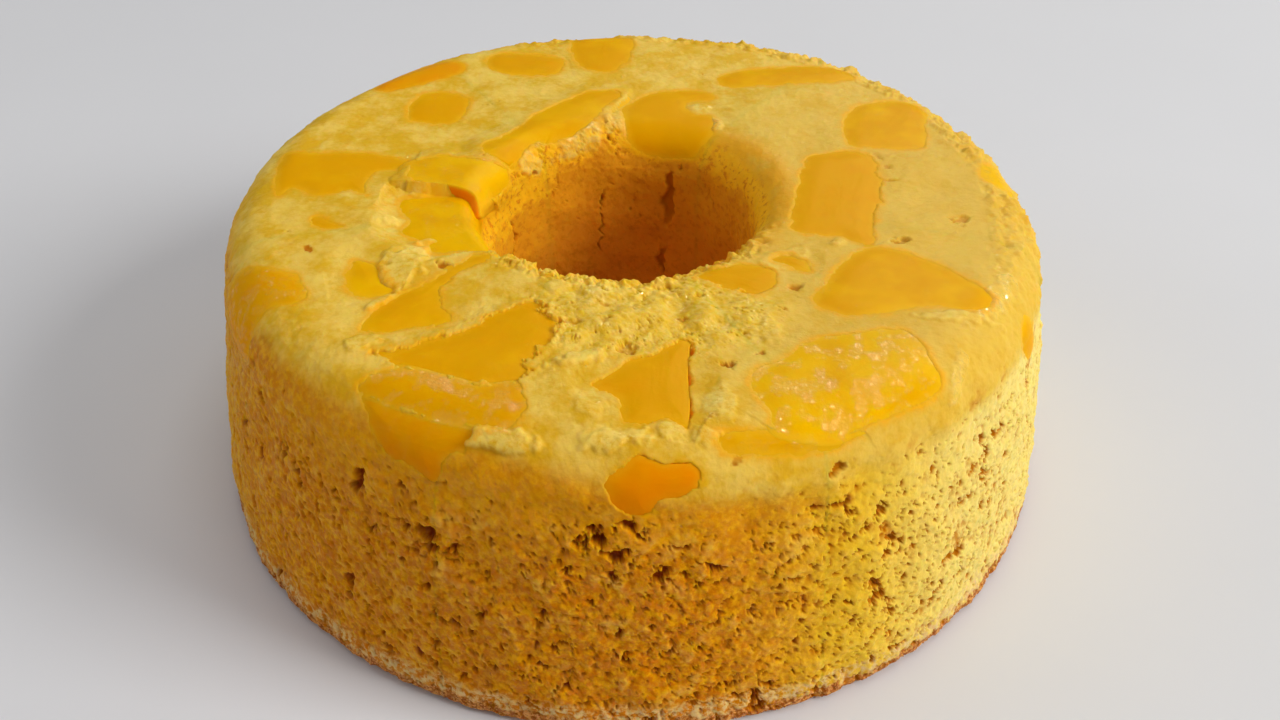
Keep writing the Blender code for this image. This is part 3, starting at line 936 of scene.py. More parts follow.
@dataclass(frozen=True)
class Pits:
    """Small hollows spread over the wall by a seeded draw, clear of each other."""

    count: int = 14
    seed: int = 7
    inner: float = 112.0
    outer: float = 152.0
    widths: Spot = (2.6, 4.4)
    height_share: float = 0.7
    depth: float = 1.8

    def spread(self) -> list[Hollow]:
        """Draw the pits' places and sizes in the same order as the solids do.

        Returns:
            The pits.
        """
        noise.seed_set(self.seed)
        taken = [(spec.x, spec.y, spec.width) for spec in HOLLOWS]
        taken += [(piece.x, piece.y, piece.length / 2) for piece in MANGO]
        found: list[Hollow] = []
        while len(found) < self.count:
            azimuth = 2.0 * math.pi * noise.random()
            reach = self.inner + (self.outer - self.inner) * noise.random()
            width = self.widths[0] + (self.widths[1] - self.widths[0]) * noise.random()
            lean = 180.0 * noise.random()
            x, y = reach * math.cos(azimuth), reach * math.sin(azimuth)
            if all(math.hypot(x - a, y - b) > size + width for a, b, size in taken):
                taken.append((x, y, width))
                found.append(Hollow(x, y, width, width * self.height_share, self.depth, lean))
        return found


@dataclass(frozen=True)
class Crack:
    """A crack down the bore: azimuth in degrees, heights, width and depth in millimetres."""

    azimuth: float
    bottom: float
    top: float
    width: float
    depth: float
    wiggle_length: float = 5.0
    wiggle: float = 2.4
    fray_length: float = 1.7
    fray: float = 0.9
    fade_out: float = 2.0
    fade_in: float = 3.0

    def sunk(self, turn: Field, height: Field, radius: float) -> Field:
        """Say how deep the crack is in places of the bore.

        Args:
            turn: Their directions from the hole's centre.
            height: Their heights in millimetres.
            radius: The hole's radius in millimetres.

        Returns:
            The depths in millimetres.
        """
        plain = np.zeros(len(height))
        wiggle = noise_at(np.stack([height, plain + self.azimuth, plain], axis=1), self.wiggle_length)
        side = np.angle(np.exp(1j * (turn - math.radians(self.azimuth)))) * radius
        fray = noise_at(np.stack([height, side, plain - self.azimuth], axis=1), self.fray_length)
        across = np.abs(side + self.wiggle * wiggle + self.fray * fray)
        ends = smooth(self.bottom - self.fade_out, self.bottom + self.fade_in, height)
        ends = ends * smooth(self.top + self.fade_out, self.top - self.fade_in, height)
        width = self.width * (0.35 + 1.3 * np.abs(wiggle)) * np.maximum(ends, 0.05)
        return self.depth * ends * smooth(width, 0.35 * width, across)


CRACKS = (
    Crack(100.5, 35.0, 53.0, 0.5, 1.3),
    Crack(66.5, 44.0, 60.0, 2.4, 1.8),
    Crack(149.0, 41.0, 54.0, 0.6, 1.3),
    Crack(70.0, 28.0, 37.0, 2.4, 1.6),
    Crack(122.0, 54.0, 62.0, 0.4, 0.8),
    Crack(44.0, 52.0, 58.0, 0.5, 1.0),
    Crack(-60.0, 20.0, 44.0, 0.7, 1.4),
    Crack(-150.0, 16.0, 40.0, 0.6, 1.2),
)


@dataclass(frozen=True)
class Lump:
    """A raised crag of crumb: place, size and rise in millimetres, turn in degrees.

    Attributes:
        pale: How much lighter it is painted, partly as paler crumb and partly as a painted highlight.
        wet: How much it glistens.
        lobe: Length of its outline's lobes, and how far they reach as a share of its size.
        tooth: The same of its finer teeth.
        farthest: Where it can't reach any more, as a share of its size.
        fade: Where it ends and where it is whole.
    """

    x: float
    y: float
    length: float
    width: float
    rise: float
    turn: float
    pale: float = 0.0
    wet: float = 0.0
    lobe: Spot = (4.0, 0.5)
    tooth: Spot = (1.8, 0.3)
    farthest: float = 1.7
    fade: Spot = (0.95, 0.55)

    def share(self, spots: Field) -> Field:
        """Say how much of the lump there is in places.

        Args:
            spots: Unrolled places in millimetres.

        Returns:
            A share from 0 to 1 for each.
        """
        along, across = turned(*(spots - (self.x, self.y)).T, math.radians(self.turn))
        away = np.hypot(along / (0.5 * self.length), across / (0.5 * self.width))
        near = np.flatnonzero(away < self.farthest)
        flat = np.column_stack([spots[near], np.full(len(near), self.x)])
        lobes, teeth = (noise_at(flat, size) * reach for size, reach in (self.lobe, self.tooth))
        away[near] += lobes + teeth
        return smooth(*self.fade, away)


LUMPS = (
    Lump(-49.5, -31.0, 22.0, 12.0, 0.9, 72, 0.85),
    Lump(-24.0, -88.3, 18.0, 6.0, 1.1, -8, 1.0, 0.2),
    Lump(-3.5, -89.0, 16.0, 6.0, 0.7, 0, 0.9, 0.3),
    Lump(13.5, -88.0, 9.0, 5.0, 0.5, 0, 0.8, 0.3),
    Lump(17.0, -80.5, 9.0, 13.0, 0.2, 0, 0.9, 0.4),
    Lump(7.3, -87.0, 6.0, 4.5, 0.5, 0, 0.8, 0.2),
    Lump(-7.5, -80.5, 7.0, 9.0, 0.3, 10, 0.5, 0.2),
    Lump(-10.5, -66.0, 13.0, 6.0, 0.9, 20, 0.8),
    Lump(-55.0, -60.5, 9.0, 6.0, 0.7, 20, 0.7),
    Lump(-52.5, -45.5, 12.0, 2.6, 0.7, 48, 0.8),
    Lump(-24.0, 18.5, 8.0, 7.0, 0.5, 0, 0.8, 0.2),
    Lump(-13.0, 28.0, 17.0, 7.0, 0.5, 40, 0.8, 0.5),
    Lump(-4.5, 36.0, 6.0, 11.0, 0.4, -10, 0.7, 0.2),
    Lump(21.5, 33.5, 5.0, 9.0, 0.4, 10, 0.7, 0.9),
    Lump(17.5, 43.3, 9.0, 4.5, 0.3, 0, 0.7, 0.4),
    Lump(-6.0, -42.0, 26.0, 6.0, 0.7, -5, 0.6),
    Lump(27.0, -57.0, 9.0, 9.0, 0.4, 0, 0.5, 0.3),
    Lump(68.0, -51.5, 24.0, 4.0, 0.5, 3, 0.7),
    Lump(77.0, -44.0, 26.0, 7.0, 0.3, 56, 0.4, 1.0),
    Lump(66.0, -66.0, 16.0, 5.0, 0.3, 84, 0.5, 1.0),
    Lump(-55.5, -12.5, 4.0, 4.0, 0.5, 0, 0.9),
    Lump(-51.5, 1.0, 6.0, 3.0, 0.4, -10, 0.7),
    Lump(33.0, -30.0, 14.0, 10.0, 0.3, 30, 0.6),
    Lump(46.5, -23.5, 6.0, 4.0, 0.5, 40, 0.7),
)


class Zone(Enum):
    """Stretches of the ring's section, from the foot of the hole round to the base."""

    BORE = "bore"
    HOLE_EDGE = "hole edge"
    TOP = "top"
    EDGE = "edge"
    WALL = "wall"
    FOOT = "foot"
    BASE = "base"


@dataclass(frozen=True)
class Stretch:
    """A stretch of the section and how finely it is divided.

    Attributes:
        zone: Where on the ring it runs.
        start: Where it begins, as a share of its zone.
        stop: Where it ends, as a share of its zone.
        rows: How many closed rows of points it has.
        columns: How many points each of them has.
    """

    zone: Zone
    start: float
    stop: float
    rows: int
    columns: int


COARSE = 768
FINE = 1536
STRETCHES = (
    Stretch(Zone.BORE, 0.0, 0.4, 28, COARSE),
    Stretch(Zone.BORE, 0.4, 1.0, 100, COARSE),
    Stretch(Zone.HOLE_EDGE, 0.0, 1.0, 34, COARSE),
    Stretch(Zone.TOP, 0.0, 0.35, 34, COARSE),
    Stretch(Zone.TOP, 0.35, 1.0, 63, FINE),
    Stretch(Zone.EDGE, 0.0, 1.0, 51, FINE),
    Stretch(Zone.WALL, 0.0, 1.0, 142, FINE),
    Stretch(Zone.FOOT, 0.0, 1.0, 6, FINE),
    Stretch(Zone.BASE, 0.0, 1.0, 12, COARSE),
)


@dataclass
class Row:
    """One closed row of the crumb's points, with their normals and unrolled places."""

    zone: Zone
    points: Field
    normals: Field
    spots: Field


@dataclass(frozen=True)
class CrumbSizes(NamedSizes):
    """Depths and heights of the crumb's fine relief."""

    cavern_depth: float = 1.4
    pore_depth: float = 0.6
    pinhole_depth: float = 0.35
    lump_height: float = 0.8
    grain_height: float = 0.18
    pocket_depth: float = 2.4
    shift: float = 37.0


@dataclass(frozen=True)
class CrumbPatterns:
    """Sizes in millimetres of the noises that the crumb's relief is drawn with.

    A bend is the size of a noise and how far it shifts the others.
    """

    bend: Spot = (2.2, 0.4)
    pore_bend: Spot = (0.9, 0.15)
    pinhole_bend: Spot = (0.9, 0.2)
    clump: float = 2.4
    broad_clump: float = 6.5
    small_clump: float = 1.7
    cavern: float = 4.2
    pore: float = 1.9
    pinhole: float = 1.5
    grain: float = 1.5
    dimple: float = 5.0
    fringe: float = 4.2
    teeth: float = 3.2
    hollow: float = 2.2


@dataclass(frozen=True)
class Side:
    """A side of the ring that fades in by the cosine of the angle to its middle.

    Attributes:
        middle: Direction of its middle in degrees.
        none: The cosine at which it begins.
        full: The cosine from which it is whole.
    """

    middle: float
    none: float
    full: float

    def share(self, azimuth: Field) -> Field:
        """Say how much directions belong to the side, from 0 to 1."""
        return smooth(self.none, self.full, np.cos(azimuth - math.radians(self.middle)))


@dataclass(frozen=True)
class CrumbMarks:
    """What the crumb is like from place to place, and where light and shade are painted on it.

    Distances are in millimetres. Pairs say where something begins and is whole.
    On the outside they count along the skin from the middle, at the hole from
    its wall or its rim, and heights count from the level of the top.
    """

    form: CakeForm
    relief: BroadRelief
    wall: Spot = (88.0, 103.0)
    damp: Side = Side(-32.0, 0.25, 0.8)
    damp_drop: float = 9.0
    # painted light: how far a point lies on the side that the key light faces; skin, crumb and pores there
    # get lit copies of their colours
    lit: Side = Side(-8.0, 0.2, 0.95)
    # painted light: the left and back-left side is painted in a paler, duller crumb colour for the light it
    # gets; the same mark also makes its pores less open
    left: Side = Side(180.0, 0.25, 0.95)
    back: Side = Side(90.0, -0.75, 0.1)
    moist: Side = Side(-106.0, 0.75, 0.97)
    low: Spot = (98.0, 122.0)
    fringe: Side = Side(48.0, 0.1, 0.8)
    fringe_start: Spot = (80.0, 88.0)
    fringe_end: Spot = (108.0, 100.0)
    deep: Spot = (0.0, -16.0)
    below: Spot = (-4.0, -12.0)
    crag: Side = Side(128.0, 0.2, 0.9)
    crag_reach: Spot = (17.0, 5.0)
    front_rim: Side = Side(-95.0, 0.1, 0.6)
    front_reach: Spot = (9.0, 3.0)
    # painted shade: the hole's rounded rim, all round but the front, is painted a deeper golden where it
    # turns away from the light
    golden: Side = Side(90.0, -0.85, -0.2)
    golden_reach: Spot = (4.5, -3.0)
    # painted shade: below this ragged line the hole's wall is painted a darker orange; the line lies lowest
    # on the left, where the light reaches furthest down, and a little lower on the right
    painted_shade_line_height: float = 65.5
    painted_shade_line_left: Side = Side(180.0, 0.3, 0.95)
    painted_shade_line_left_drop: float = 13.0
    painted_shade_line_right: Side = Side(0.0, 0.4, 0.9)
    painted_shade_line_right_drop: float = 4.0
    patch_length: float = 14.0
    hollow_reach: float = 12.0

    def outside(self, azimuth: Field, reach: Field, outer: Field) -> dict[str, Field]:
        """Mark the edge and the wall.

        Args:
            azimuth: Each point's direction from the middle.
            reach: Its distance from the middle along the skin.
            outer: Whether it lies past the flat top.

        Returns:
            Numbers for each point by the attribute's name.
        """
        wall = smooth(*self.wall, reach - self.damp_drop * self.damp.share(azimuth))
        fringe = smooth(*self.fringe_start, reach) * smooth(*self.fringe_end, reach)
        return {
            "wall": np.where(outer, wall, 0.0),
            "lit": self.lit.share(azimuth),
            "left": self.left.share(azimuth) * self.back.share(azimuth),
            "moist": self.moist.share(azimuth) * (1.0 - smooth(*self.low, reach)),
            "fringe": np.where(outer, fringe, 0.0) * (0.12 + 0.9 * self.fringe.share(azimuth)),
        }

    def hole(self, height: Field, from_hole: Field, turn: Field, bore: Field) -> dict[str, Field]:
        """Mark the hole's rim and its wall.

        Args:
            height: Each point's height above the top.
            from_hole: Its distance from the hole's axis.
            turn: Its direction from there.
            bore: Whether it lies in the hole.

        Returns:
            Numbers for each point by the attribute's name.
        """
        above = 1.0 - smooth(*self.below, height)
        past_wall = from_hole - self.form.hole_radius / MM
        past_rim = from_hole - self.form.rim_at(turn) / MM
        teeth = self.front_rim.share(turn) * above * smooth(*self.front_reach, past_wall)
        crag = self.crag.share(turn) * above * smooth(*self.crag_reach, past_wall)
        sides = self.painted_shade_line_left_drop * self.painted_shade_line_left.share(turn)
        sides = sides + self.painted_shade_line_right_drop * self.painted_shade_line_right.share(turn)
        return {
            "deep": np.where(bore, smooth(*self.deep, height), 0.0),
            "rim_teeth": teeth,
            "crag": np.maximum(crag, 0.8 * teeth),
            "golden": self.golden.share(turn) * smooth(*self.golden_reach, past_rim),
            "painted_shade_line": self.painted_shade_line_height - sides,
        }

    def hollows(self, spots: Field) -> dict[str, Field]:
        """Mark the hollows.

        Args:
            spots: Unrolled places in millimetres.

        Returns:
            How deep inside a hollow each place lies, and how deep that hollow is.
        """
        values = {"hollow": np.full(len(spots), -1.0), "hollow_depth": np.zeros(len(spots))}
        for pit in (*HOLLOWS, *Pits().spread(), *PINPRICKS):
            near = np.flatnonzero(np.abs(spots - (pit.x, pit.y)).max(axis=1) < self.hollow_reach)
            nearness = pit.nearness(spots[near])
            better = nearness > values["hollow"][near]
            values["hollow"][near[better]] = nearness[better]
            values["hollow_depth"][near[better]] = pit.depth
        return values

    @staticmethod
    def openness(marks: dict[str, Field], patchy: Field, low: Field) -> Field:
        """Say how open the crumb's pores are, from 0 to 1.

        Args:
            marks: The other marks.
            patchy: Patches of the crumb from 0 to 1.
            low: How far down the wall each point lies, from 0 to 1.

        Returns:
            One number for each point.
        """
        wall = (0.5 - 0.45 * marks["moist"] + 0.3 * low + 0.35 * patchy) * (1.0 - 0.4 * marks["left"])
        return np.maximum.reduce([
            0.2 + 0.8 * marks["wall"] * np.clip(wall, 0.0, 1.0),
            0.62 * marks["torn"],
            0.9 * marks["crag"],
            (0.2 + 0.25 * patchy) * marks["deep"],
            0.25 * marks["pale"],
        ])

    def build(self, points: Field, spots: Field, zones: Field) -> dict[str, Field]:
        """Work out all the marks.

        Args:
            points: Places on the ring.
            spots: Their unrolled places in millimetres.
            zones: Each point's zone.

        Returns:
            Numbers for each point by the attribute's name.
        """
        reach = np.hypot(*spots.T)
        outer = np.isin(zones, [Zone.WALL.value, Zone.FOOT.value, Zone.EDGE.value])
        bore = np.isin(zones, [Zone.BORE.value, Zone.HOLE_EDGE.value])
        base = zones == Zone.BASE.value
        marks = self.outside(np.arctan2(points[:, 1], points[:, 0]), reach, outer)
        hole = points[:, :2] - self.form.hole_centre
        turn = np.arctan2(hole[:, 1], hole[:, 0])
        drop = (points[:, 2] - self.form.height) / MM
        marks.update(self.hole(drop, np.hypot(*hole.T) / MM, turn, bore))
        marks["torn"] = self.relief.torn(points, self.form)
        shares = [lump.share(spots) for lump in LUMPS]
        marks["pale"] = np.maximum.reduce([lump.pale * share for lump, share in zip(LUMPS, shares)])
        marks["wet"] = np.maximum.reduce([lump.wet * share for lump, share in zip(LUMPS, shares)])
        patchy = np.clip(0.5 + noise_at(points, self.patch_length * MM), 0.0, 1.0)
        openness = self.openness(marks, patchy, smooth(*self.low, reach))
        marks["openness"] = np.where(base, 0.0, openness)
        marks["moist"] = marks["moist"] * marks["wall"]
        marks["base"] = np.where(base, 1.0, 0.0)
        in_bore = np.flatnonzero(zones == Zone.BORE.value)
        down = (turn[in_bore], points[in_bore, 2] / MM, self.form.hole_radius / MM)
        marks["crack"] = np.zeros(len(spots))
        marks["crack"][in_bore] = np.maximum.reduce([crack.sunk(*down) for crack in CRACKS])
        return {**marks, **self.hollows(spots)}


@dataclass
class CakeCrumb:
    """The baked ring with its crags, pores, cracks and the pockets of its slices.

    Attributes:
        form: The smooth ring.
        relief: Its broad swells and dents.
        sizes: Depths and heights of its fine relief.
        crowding: How much closer together its points are at the front.
        sectors: How many closed pieces it is parted into.
        core: Radius and height of the middle of the sectors' end faces.
        cover: How far the crumb stands over a slice along its border, in millimetres.
        slice_reach: How far out of its opening a slice matters, in millimetres.
        calm: How much of the relief goes near a slice.
        calm_reach: Where that begins and is whole, in millimetres into the opening.
        torn_ragged: How much more the borders stray where the skin is torn.
        torn_lip: How much higher the crumb stands at the borders there.
    """

    form: CakeForm = field(default_factory=CakeForm)
    relief: BroadRelief = field(default_factory=BroadRelief)
    sizes: CrumbSizes = field(default_factory=CrumbSizes)
    crowding: float = 0.25
    sectors: int = 6
    core: Spot = (70.0 * MM, 35.0 * MM)
    cover: float = 0.12
    slice_reach: float = 8.0
    calm: float = 0.8
    calm_reach: Spot = (-7.0, -1.0)
    torn_ragged: float = 0.5
    torn_lip: float = 0.35

    def azimuths(self, columns: int) -> Field:
        """Directions of the points of a row, closer together at the front."""
        angle = 2.0 * math.pi * np.arange(columns) / columns
        return angle - self.crowding * np.cos(angle)

    def row(self, zone: Zone, share: float, columns: int) -> Row:
        """Place one row of points on the smooth ring.

        Args:
            zone: Where on the ring it runs.
            share: How far into the zone it lies.
            columns: How many points it has.

        Returns:
            The row.
        """
        form = self.form
        azimuth = self.azimuths(columns)
        if zone in (Zone.BORE, Zone.HOLE_EDGE):
            arc = form.rounding_at(azimuth) * QUARTER
            straight = form.height - form.rounding_at(azimuth)
            inset = arc + straight * (1.0 - share) if zone is Zone.BORE else arc * (1.0 - share)
            points, normals = form.hole_skin(azimuth, inset)
            spread = np.maximum(form.rim_at(azimuth) - inset, 0.0)
            spots = ring_points(azimuth, spread, 0.0)[:, :2] + form.hole_centre
            return Row(zone, points, normals, spots / MM)
        if zone is Zone.TOP:
            inner = form.hole_skin(azimuth, np.zeros(columns))[0]
            outer = form.outer_skin(azimuth, np.full(columns, form.flat_radius))[0]
            points = inner + (outer - inner) * share
            return Row(zone, points, np.tile((0.0, 0.0, 1.0), (columns, 1)), points[:, :2] / MM)
        if zone in (Zone.EDGE, Zone.WALL):
            start = form.flat_radius if zone is Zone.EDGE else form.wall_reach
            stop = form.wall_reach if zone is Zone.EDGE else form.foot_reach
            reach = np.full(columns, start + (stop - start) * share)
            points, normals = form.outer_skin(azimuth, reach)
            return Row(zone, points, normals, ring_points(azimuth, reach, 0.0)[:, :2] / MM)
        bend = QUARTER * (share if zone is Zone.FOOT else 1.0)
        inset = form.foot_rounding * (1.0 - math.cos(bend))
        radius = form.wall_radius(np.float64(form.foot_rounding)) - inset
        reach = form.foot_reach + form.foot_rounding * bend
        spots = ring_points(azimuth, reach, 0.0)[:, :2] / MM
        edge = ring_points(azimuth, radius, form.foot_rounding * (1.0 - math.sin(bend)))
        if zone is Zone.FOOT:
            return Row(zone, edge, ring_points(azimuth, 1.0, 0.0), spots)
        bore = self.row(Zone.BORE, 0.0, columns).points
        return Row(zone, edge + (bore - edge) * share, np.tile((0.0, 0.0, -1.0), (columns, 1)), spots)

    def rows(self) -> list[Row]:
        """Place all rows of the section.

        Returns:
            The rows in order.
        """
        found = []
        for part in STRETCHES:
            for index in range(part.rows):
                share = part.start + (part.stop - part.start) * index / part.rows
                found.append(self.row(part.zone, share, part.columns))
        return found

    @staticmethod
    def band(low: int, low_count: int, high: int, high_count: int) -> Field:
        """Join two closed rows of points with triangles that face outwards.

        Args:
            low: Number of the lower row's first point.
            low_count: How many points it has.
            high: Number of the upper row's first point.
            high_count: How many points it has, the same, twice or half as many.

        Returns:
            Three point numbers a row, in the order of the columns.
        """
        step = np.arange(min(low_count, high_count))
        following = (step + 1) % len(step)
        if low_count == high_count:
            faces = [(low + step, high + step, high + following),
                     (low + step, high + following, low + following)]
        elif low_count < high_count:
            middle = high + 2 * step + 1
            faces = [(low + step, high + 2 * step, middle), (low + step, middle, low + following),
                     (low + following, middle, high + 2 * following)]
        else:
            middle = low + 2 * step + 1
            faces = [(high + step, middle, low + 2 * step), (high + step, high + following, middle),
                     (high + following, low + 2 * following, middle)]
        return np.stack([np.stack(face, axis=1) for face in faces], axis=1)

    def raised(self, points: Field, normals: Field, spots: Field, opening: Field) -> Field:
        """Put the broad relief and the raised crags on the smooth ring.

        Args:
            points: Places on the smooth ring.
            normals: Their normals.
            spots: Their unrolled places in millimetres.
            opening: How far each lies inside a slice's opening, in millimetres.

        Returns:
            The raised places.
        """
        swell = self.relief.swell(points)
        rise = self.relief.rise(points, normals, self.form)
        rise = rise + (swell - rise) * self.calm * smooth(*self.calm_reach, opening)
        for lump in LUMPS:
            rise += lump.rise * MM * lump.share(spots)
        return points + normals * rise[:, None]

    def openings(self, spots: Field) -> dict[str, Field]:
        """Work out at each point how far it lies inside a slice's opening.

        Args:
            spots: Unrolled places in millimetres.

        Returns:
            The distance inside, positive where the slice is bare, and the style of
            the nearest edge.
        """
        reach = self.slice_reach
        values = {"opening": np.full(len(spots), -reach)}
        values.update({name: np.zeros(len(spots)) for name in ("ragged", "width", "lip", "meet")})
        for piece in MANGO:
            line = piece.opening()
            near = ((spots > line.min(axis=0) - reach) & (spots < line.max(axis=0) + reach)).all(axis=1)
            index = np.flatnonzero(near)
            distance = inside(spots[index], line)
            nearer = distance > values["opening"][index]
            index = index[nearer]
            values["opening"][index] = distance[nearer]
            for name in ("ragged", "width", "lip"):
                values[name][index] = getattr(piece.edge.value, name)
            values["meet"][index] = piece.sink - self.cover
        return values

    def tree(self, material: bpy.types.Material) -> bpy.types.NodeTree:
        """Build the geometry tree that carves the fine relief.

        Args:
            material: The crumb's finish.

        Returns:
            The tree.
        """
        graph, given = geometry_tree("crumb_relief", self.sizes.named())
        place = graph.shifted_place(given["Shift"])
        openness = graph.attribute("openness")
        sizes = CrumbPatterns()
        bent = graph.bent(place, *sizes.bend)
        net = {"Vector": graph.scaled(bent, 1.0 / sizes.clump), "Scale": 1.0, "Smoothness": 0.35}
        cells = graph.made("ShaderNodeTexVoronoi", net, "Distance", feature="SMOOTH_F1")
        clumps = (0.42 - cells) * 0.22 + graph.swing(bent, sizes.broad_clump, 4.0, 0.6)
        clumps = graph.swing(place, sizes.small_clump, 2.0, 0.6) * 0.4 + clumps
        few = graph.mix(openness, 0.27, 0.415)
        gone = few - 0.04
        cave = graph.step(graph.noise(bent, sizes.cavern, 4.0, 0.66), few, gone)
        nick = graph.noise(graph.bent(place, *sizes.pore_bend), sizes.pore, 3.0, 0.64)
        nick = graph.step(nick, few, gone)
        pinhole = graph.pores(graph.bent(place, *sizes.pinhole_bend), sizes.pinhole, 0.5, (0.2, 0.42))
        pits = nick * given["Pore Depth"] + cave * given["Cavern Depth"]
        pits = pits + pinhole * given["Pinhole Depth"] * openness
        height = clumps * given["Lump Height"] * 2.4 * openness - pits * graph.step(openness, 0.0, 0.5)
        strength = given["Grain Height"] * (openness * 2.2 + 0.6)
        height = graph.swing(place, sizes.grain, 1.0) * strength + height
        height = graph.swing(place, sizes.dimple) * 0.45 + height
        height = height + graph.swing(bent, sizes.fringe, 3.0, 0.6) * graph.attribute("fringe") * 6.0
        height = height + graph.swing(bent, sizes.teeth, 2.0, 0.6) * graph.attribute("rim_teeth") * 7.0
        hollow = graph.swing(place, sizes.hollow, 3.0, 0.6) * 4.0 + graph.attribute("hollow")
        hollow = graph.step(hollow, 0.0, 0.5)
        height = height - hollow * graph.attribute("hollow_depth") * 0.5
        crack = graph.attribute("crack")
        height = crack * -0.75 + height

        width = graph.attribute("width")
        bare = stray_line(graph, place, graph.attribute("opening"))
        soft = graph.step(width, 0.8, 3.6)
        height = height * (graph.step(bare, -2.6, -0.2) * soft * -0.8 + 1.0)
        pocket = graph.step(bare, 0.0, width)
        rest = 1.0 - pocket
        height = graph.step(bare, -3.2, -0.5) * rest * graph.attribute("lip") + height
        height = height - graph.step(bare, -6.5, 0.0) * rest * graph.attribute("meet")
        height = height - pocket * given["Pocket Depth"]
        height = height * (1.0 - graph.attribute("base"))

        # painted shade: pores, caves, the low places between clumps, the hollows and the cracks are marked
        # to be painted darker, more on the wall and less on the side that the key light faces
        cavity = pinhole * 0.35 + (nick * 0.5 + cave * 0.95)
        cavity = graph.step(clumps, -0.02, -0.3) * 0.45 + cavity
        open_enough = graph.step(openness, 0.0, 0.6)
        hollow_shade = graph.mix(graph.attribute("wall"), 0.55, 1.1) * graph.mix(graph.attribute("lit"), 1.0, 0.5)
        cavity = hollow * hollow_shade + cavity * open_enough
        cavity = graph.clamped(graph.step(crack, 0.2, 1.4) * 0.45 + cavity)
        # painted highlight: the tops of the clumps are marked to be painted lighter
        crest = graph.step(clumps, 0.0, 0.3) * open_enough
        last = given["Geometry"]
        for name, value in (("cavity", cavity), ("bare", bare), ("crest", crest)):
            stored = {"Geometry": last, "Name": name, "Value": value}
            last = graph.made("GeometryNodeStoreNamedAttribute", stored, data_type="FLOAT", domain="POINT")
        return finish_tree(graph, last, height, material)

    def build(self, material: bpy.types.Material) -> list[bpy.types.Object]:
        """Make the ring and part it into closed sectors.

        Args:
            material: The crumb's finish.

        Returns:
            The sectors.
        """
        rows = self.rows()
        counts = [len(row.points) for row in rows]
        firsts = np.concatenate([[0], np.cumsum(counts)[:-1]])
        normals = np.concatenate([row.normals for row in rows])
        spots = np.concatenate([row.spots for row in rows])
        zones = np.concatenate([np.full(len(row.points), row.zone.value) for row in rows])
        openings = self.openings(spots)
        points = np.concatenate([row.points for row in rows])
        points = self.raised(points, normals, spots, openings["opening"])
        columns, faces = [], []
        for index, low in enumerate(firsts):
            after = (index + 1) % len(rows)
            band = self.band(low, counts[index], firsts[after], counts[after])
            columns.append(np.repeat(np.arange(len(band)) / len(band), band.shape[1]))
            faces.append(band.reshape(-1, 3))
        mesh = mesh_of("cake_crumb_whole", points, np.concatenate(faces))
        marks = CrumbMarks(self.form, self.relief).build(points, spots, zones)
        openings["ragged"] += self.torn_ragged * marks["torn"]
        openings["lip"] += self.torn_lip * marks["torn"]
        give(mesh, {"outward": normals, **openings, **marks})
        whole = worked(mesh, self.tree(material), self.sizes.named())
        made = self.parted(whole, np.concatenate(faces), np.concatenate(columns), firsts, np.array(counts))
        bpy.data.meshes.remove(whole)
        return made

    def parted(
        self, whole: bpy.types.Mesh, faces: Field, columns: Field, firsts: Field, counts: Field
    ) -> list[bpy.types.Object]:
        """Cut the carved ring into closed sectors that keep its smooth shading.

        Args:
            whole: The carved ring.
            faces: Its triangles.
            columns: How far round the ring each triangle lies, from 0 to 1.
            firsts: Number of each row's first point.
            counts: How many points each row has.

        Returns:
            The sectors.
        """
        points = read(whole.vertices, "co", 3)
        normals = read(whole.vertex_normals, "vector", 3)
        values = {name: read(whole.attributes[name].data, "value", 1)[:, 0] for name in FINISH_MARKS}
        made = []
        for sector in range(self.sectors):
            own = faces[(columns * self.sectors).astype(int) == sector]
            used, local = np.unique(own, return_inverse=True)
            sides, hubs = [], []
            for end in (0, 1):
                line = firsts + (sector + end) % self.sectors * counts // self.sectors
                pair = (line, np.roll(line, -1)) if end else (np.roll(line, -1), line)
                hub = np.full(len(line), len(used) + end)
                sides.append(np.stack([*(np.searchsorted(used, row) for row in pair), hub], axis=1))
                angle = 2.0 * math.pi * (sector + end) / self.sectors
                hubs.append(ring_points(angle - self.crowding * math.cos(angle), *self.core))
            mesh = mesh_of(
                f"cake_crumb_{sector + 1}",
                np.concatenate([points[used], hubs]),
                np.concatenate([local.reshape(-1, 3), *sides]),
            )
            give(mesh, {name: np.append(numbers[used], (0.0, 0.0)) for name, numbers in values.items()})
            shading = np.concatenate([normals[used], [(0.0, 0.0, 1.0)] * 2])
            mesh.normals_split_custom_set_from_vertices(shading.tolist())
            mesh.materials.append(whole.materials[0])
            made.append(link(mesh.name, mesh))
        return made


@dataclass(frozen=True)
class FleshSizes(NamedSizes):
    """Heights of the flesh's waves and fibres."""

    wave_height: float = 0.3
    fibre_height: float = 0.09
    shift: float = 11.0


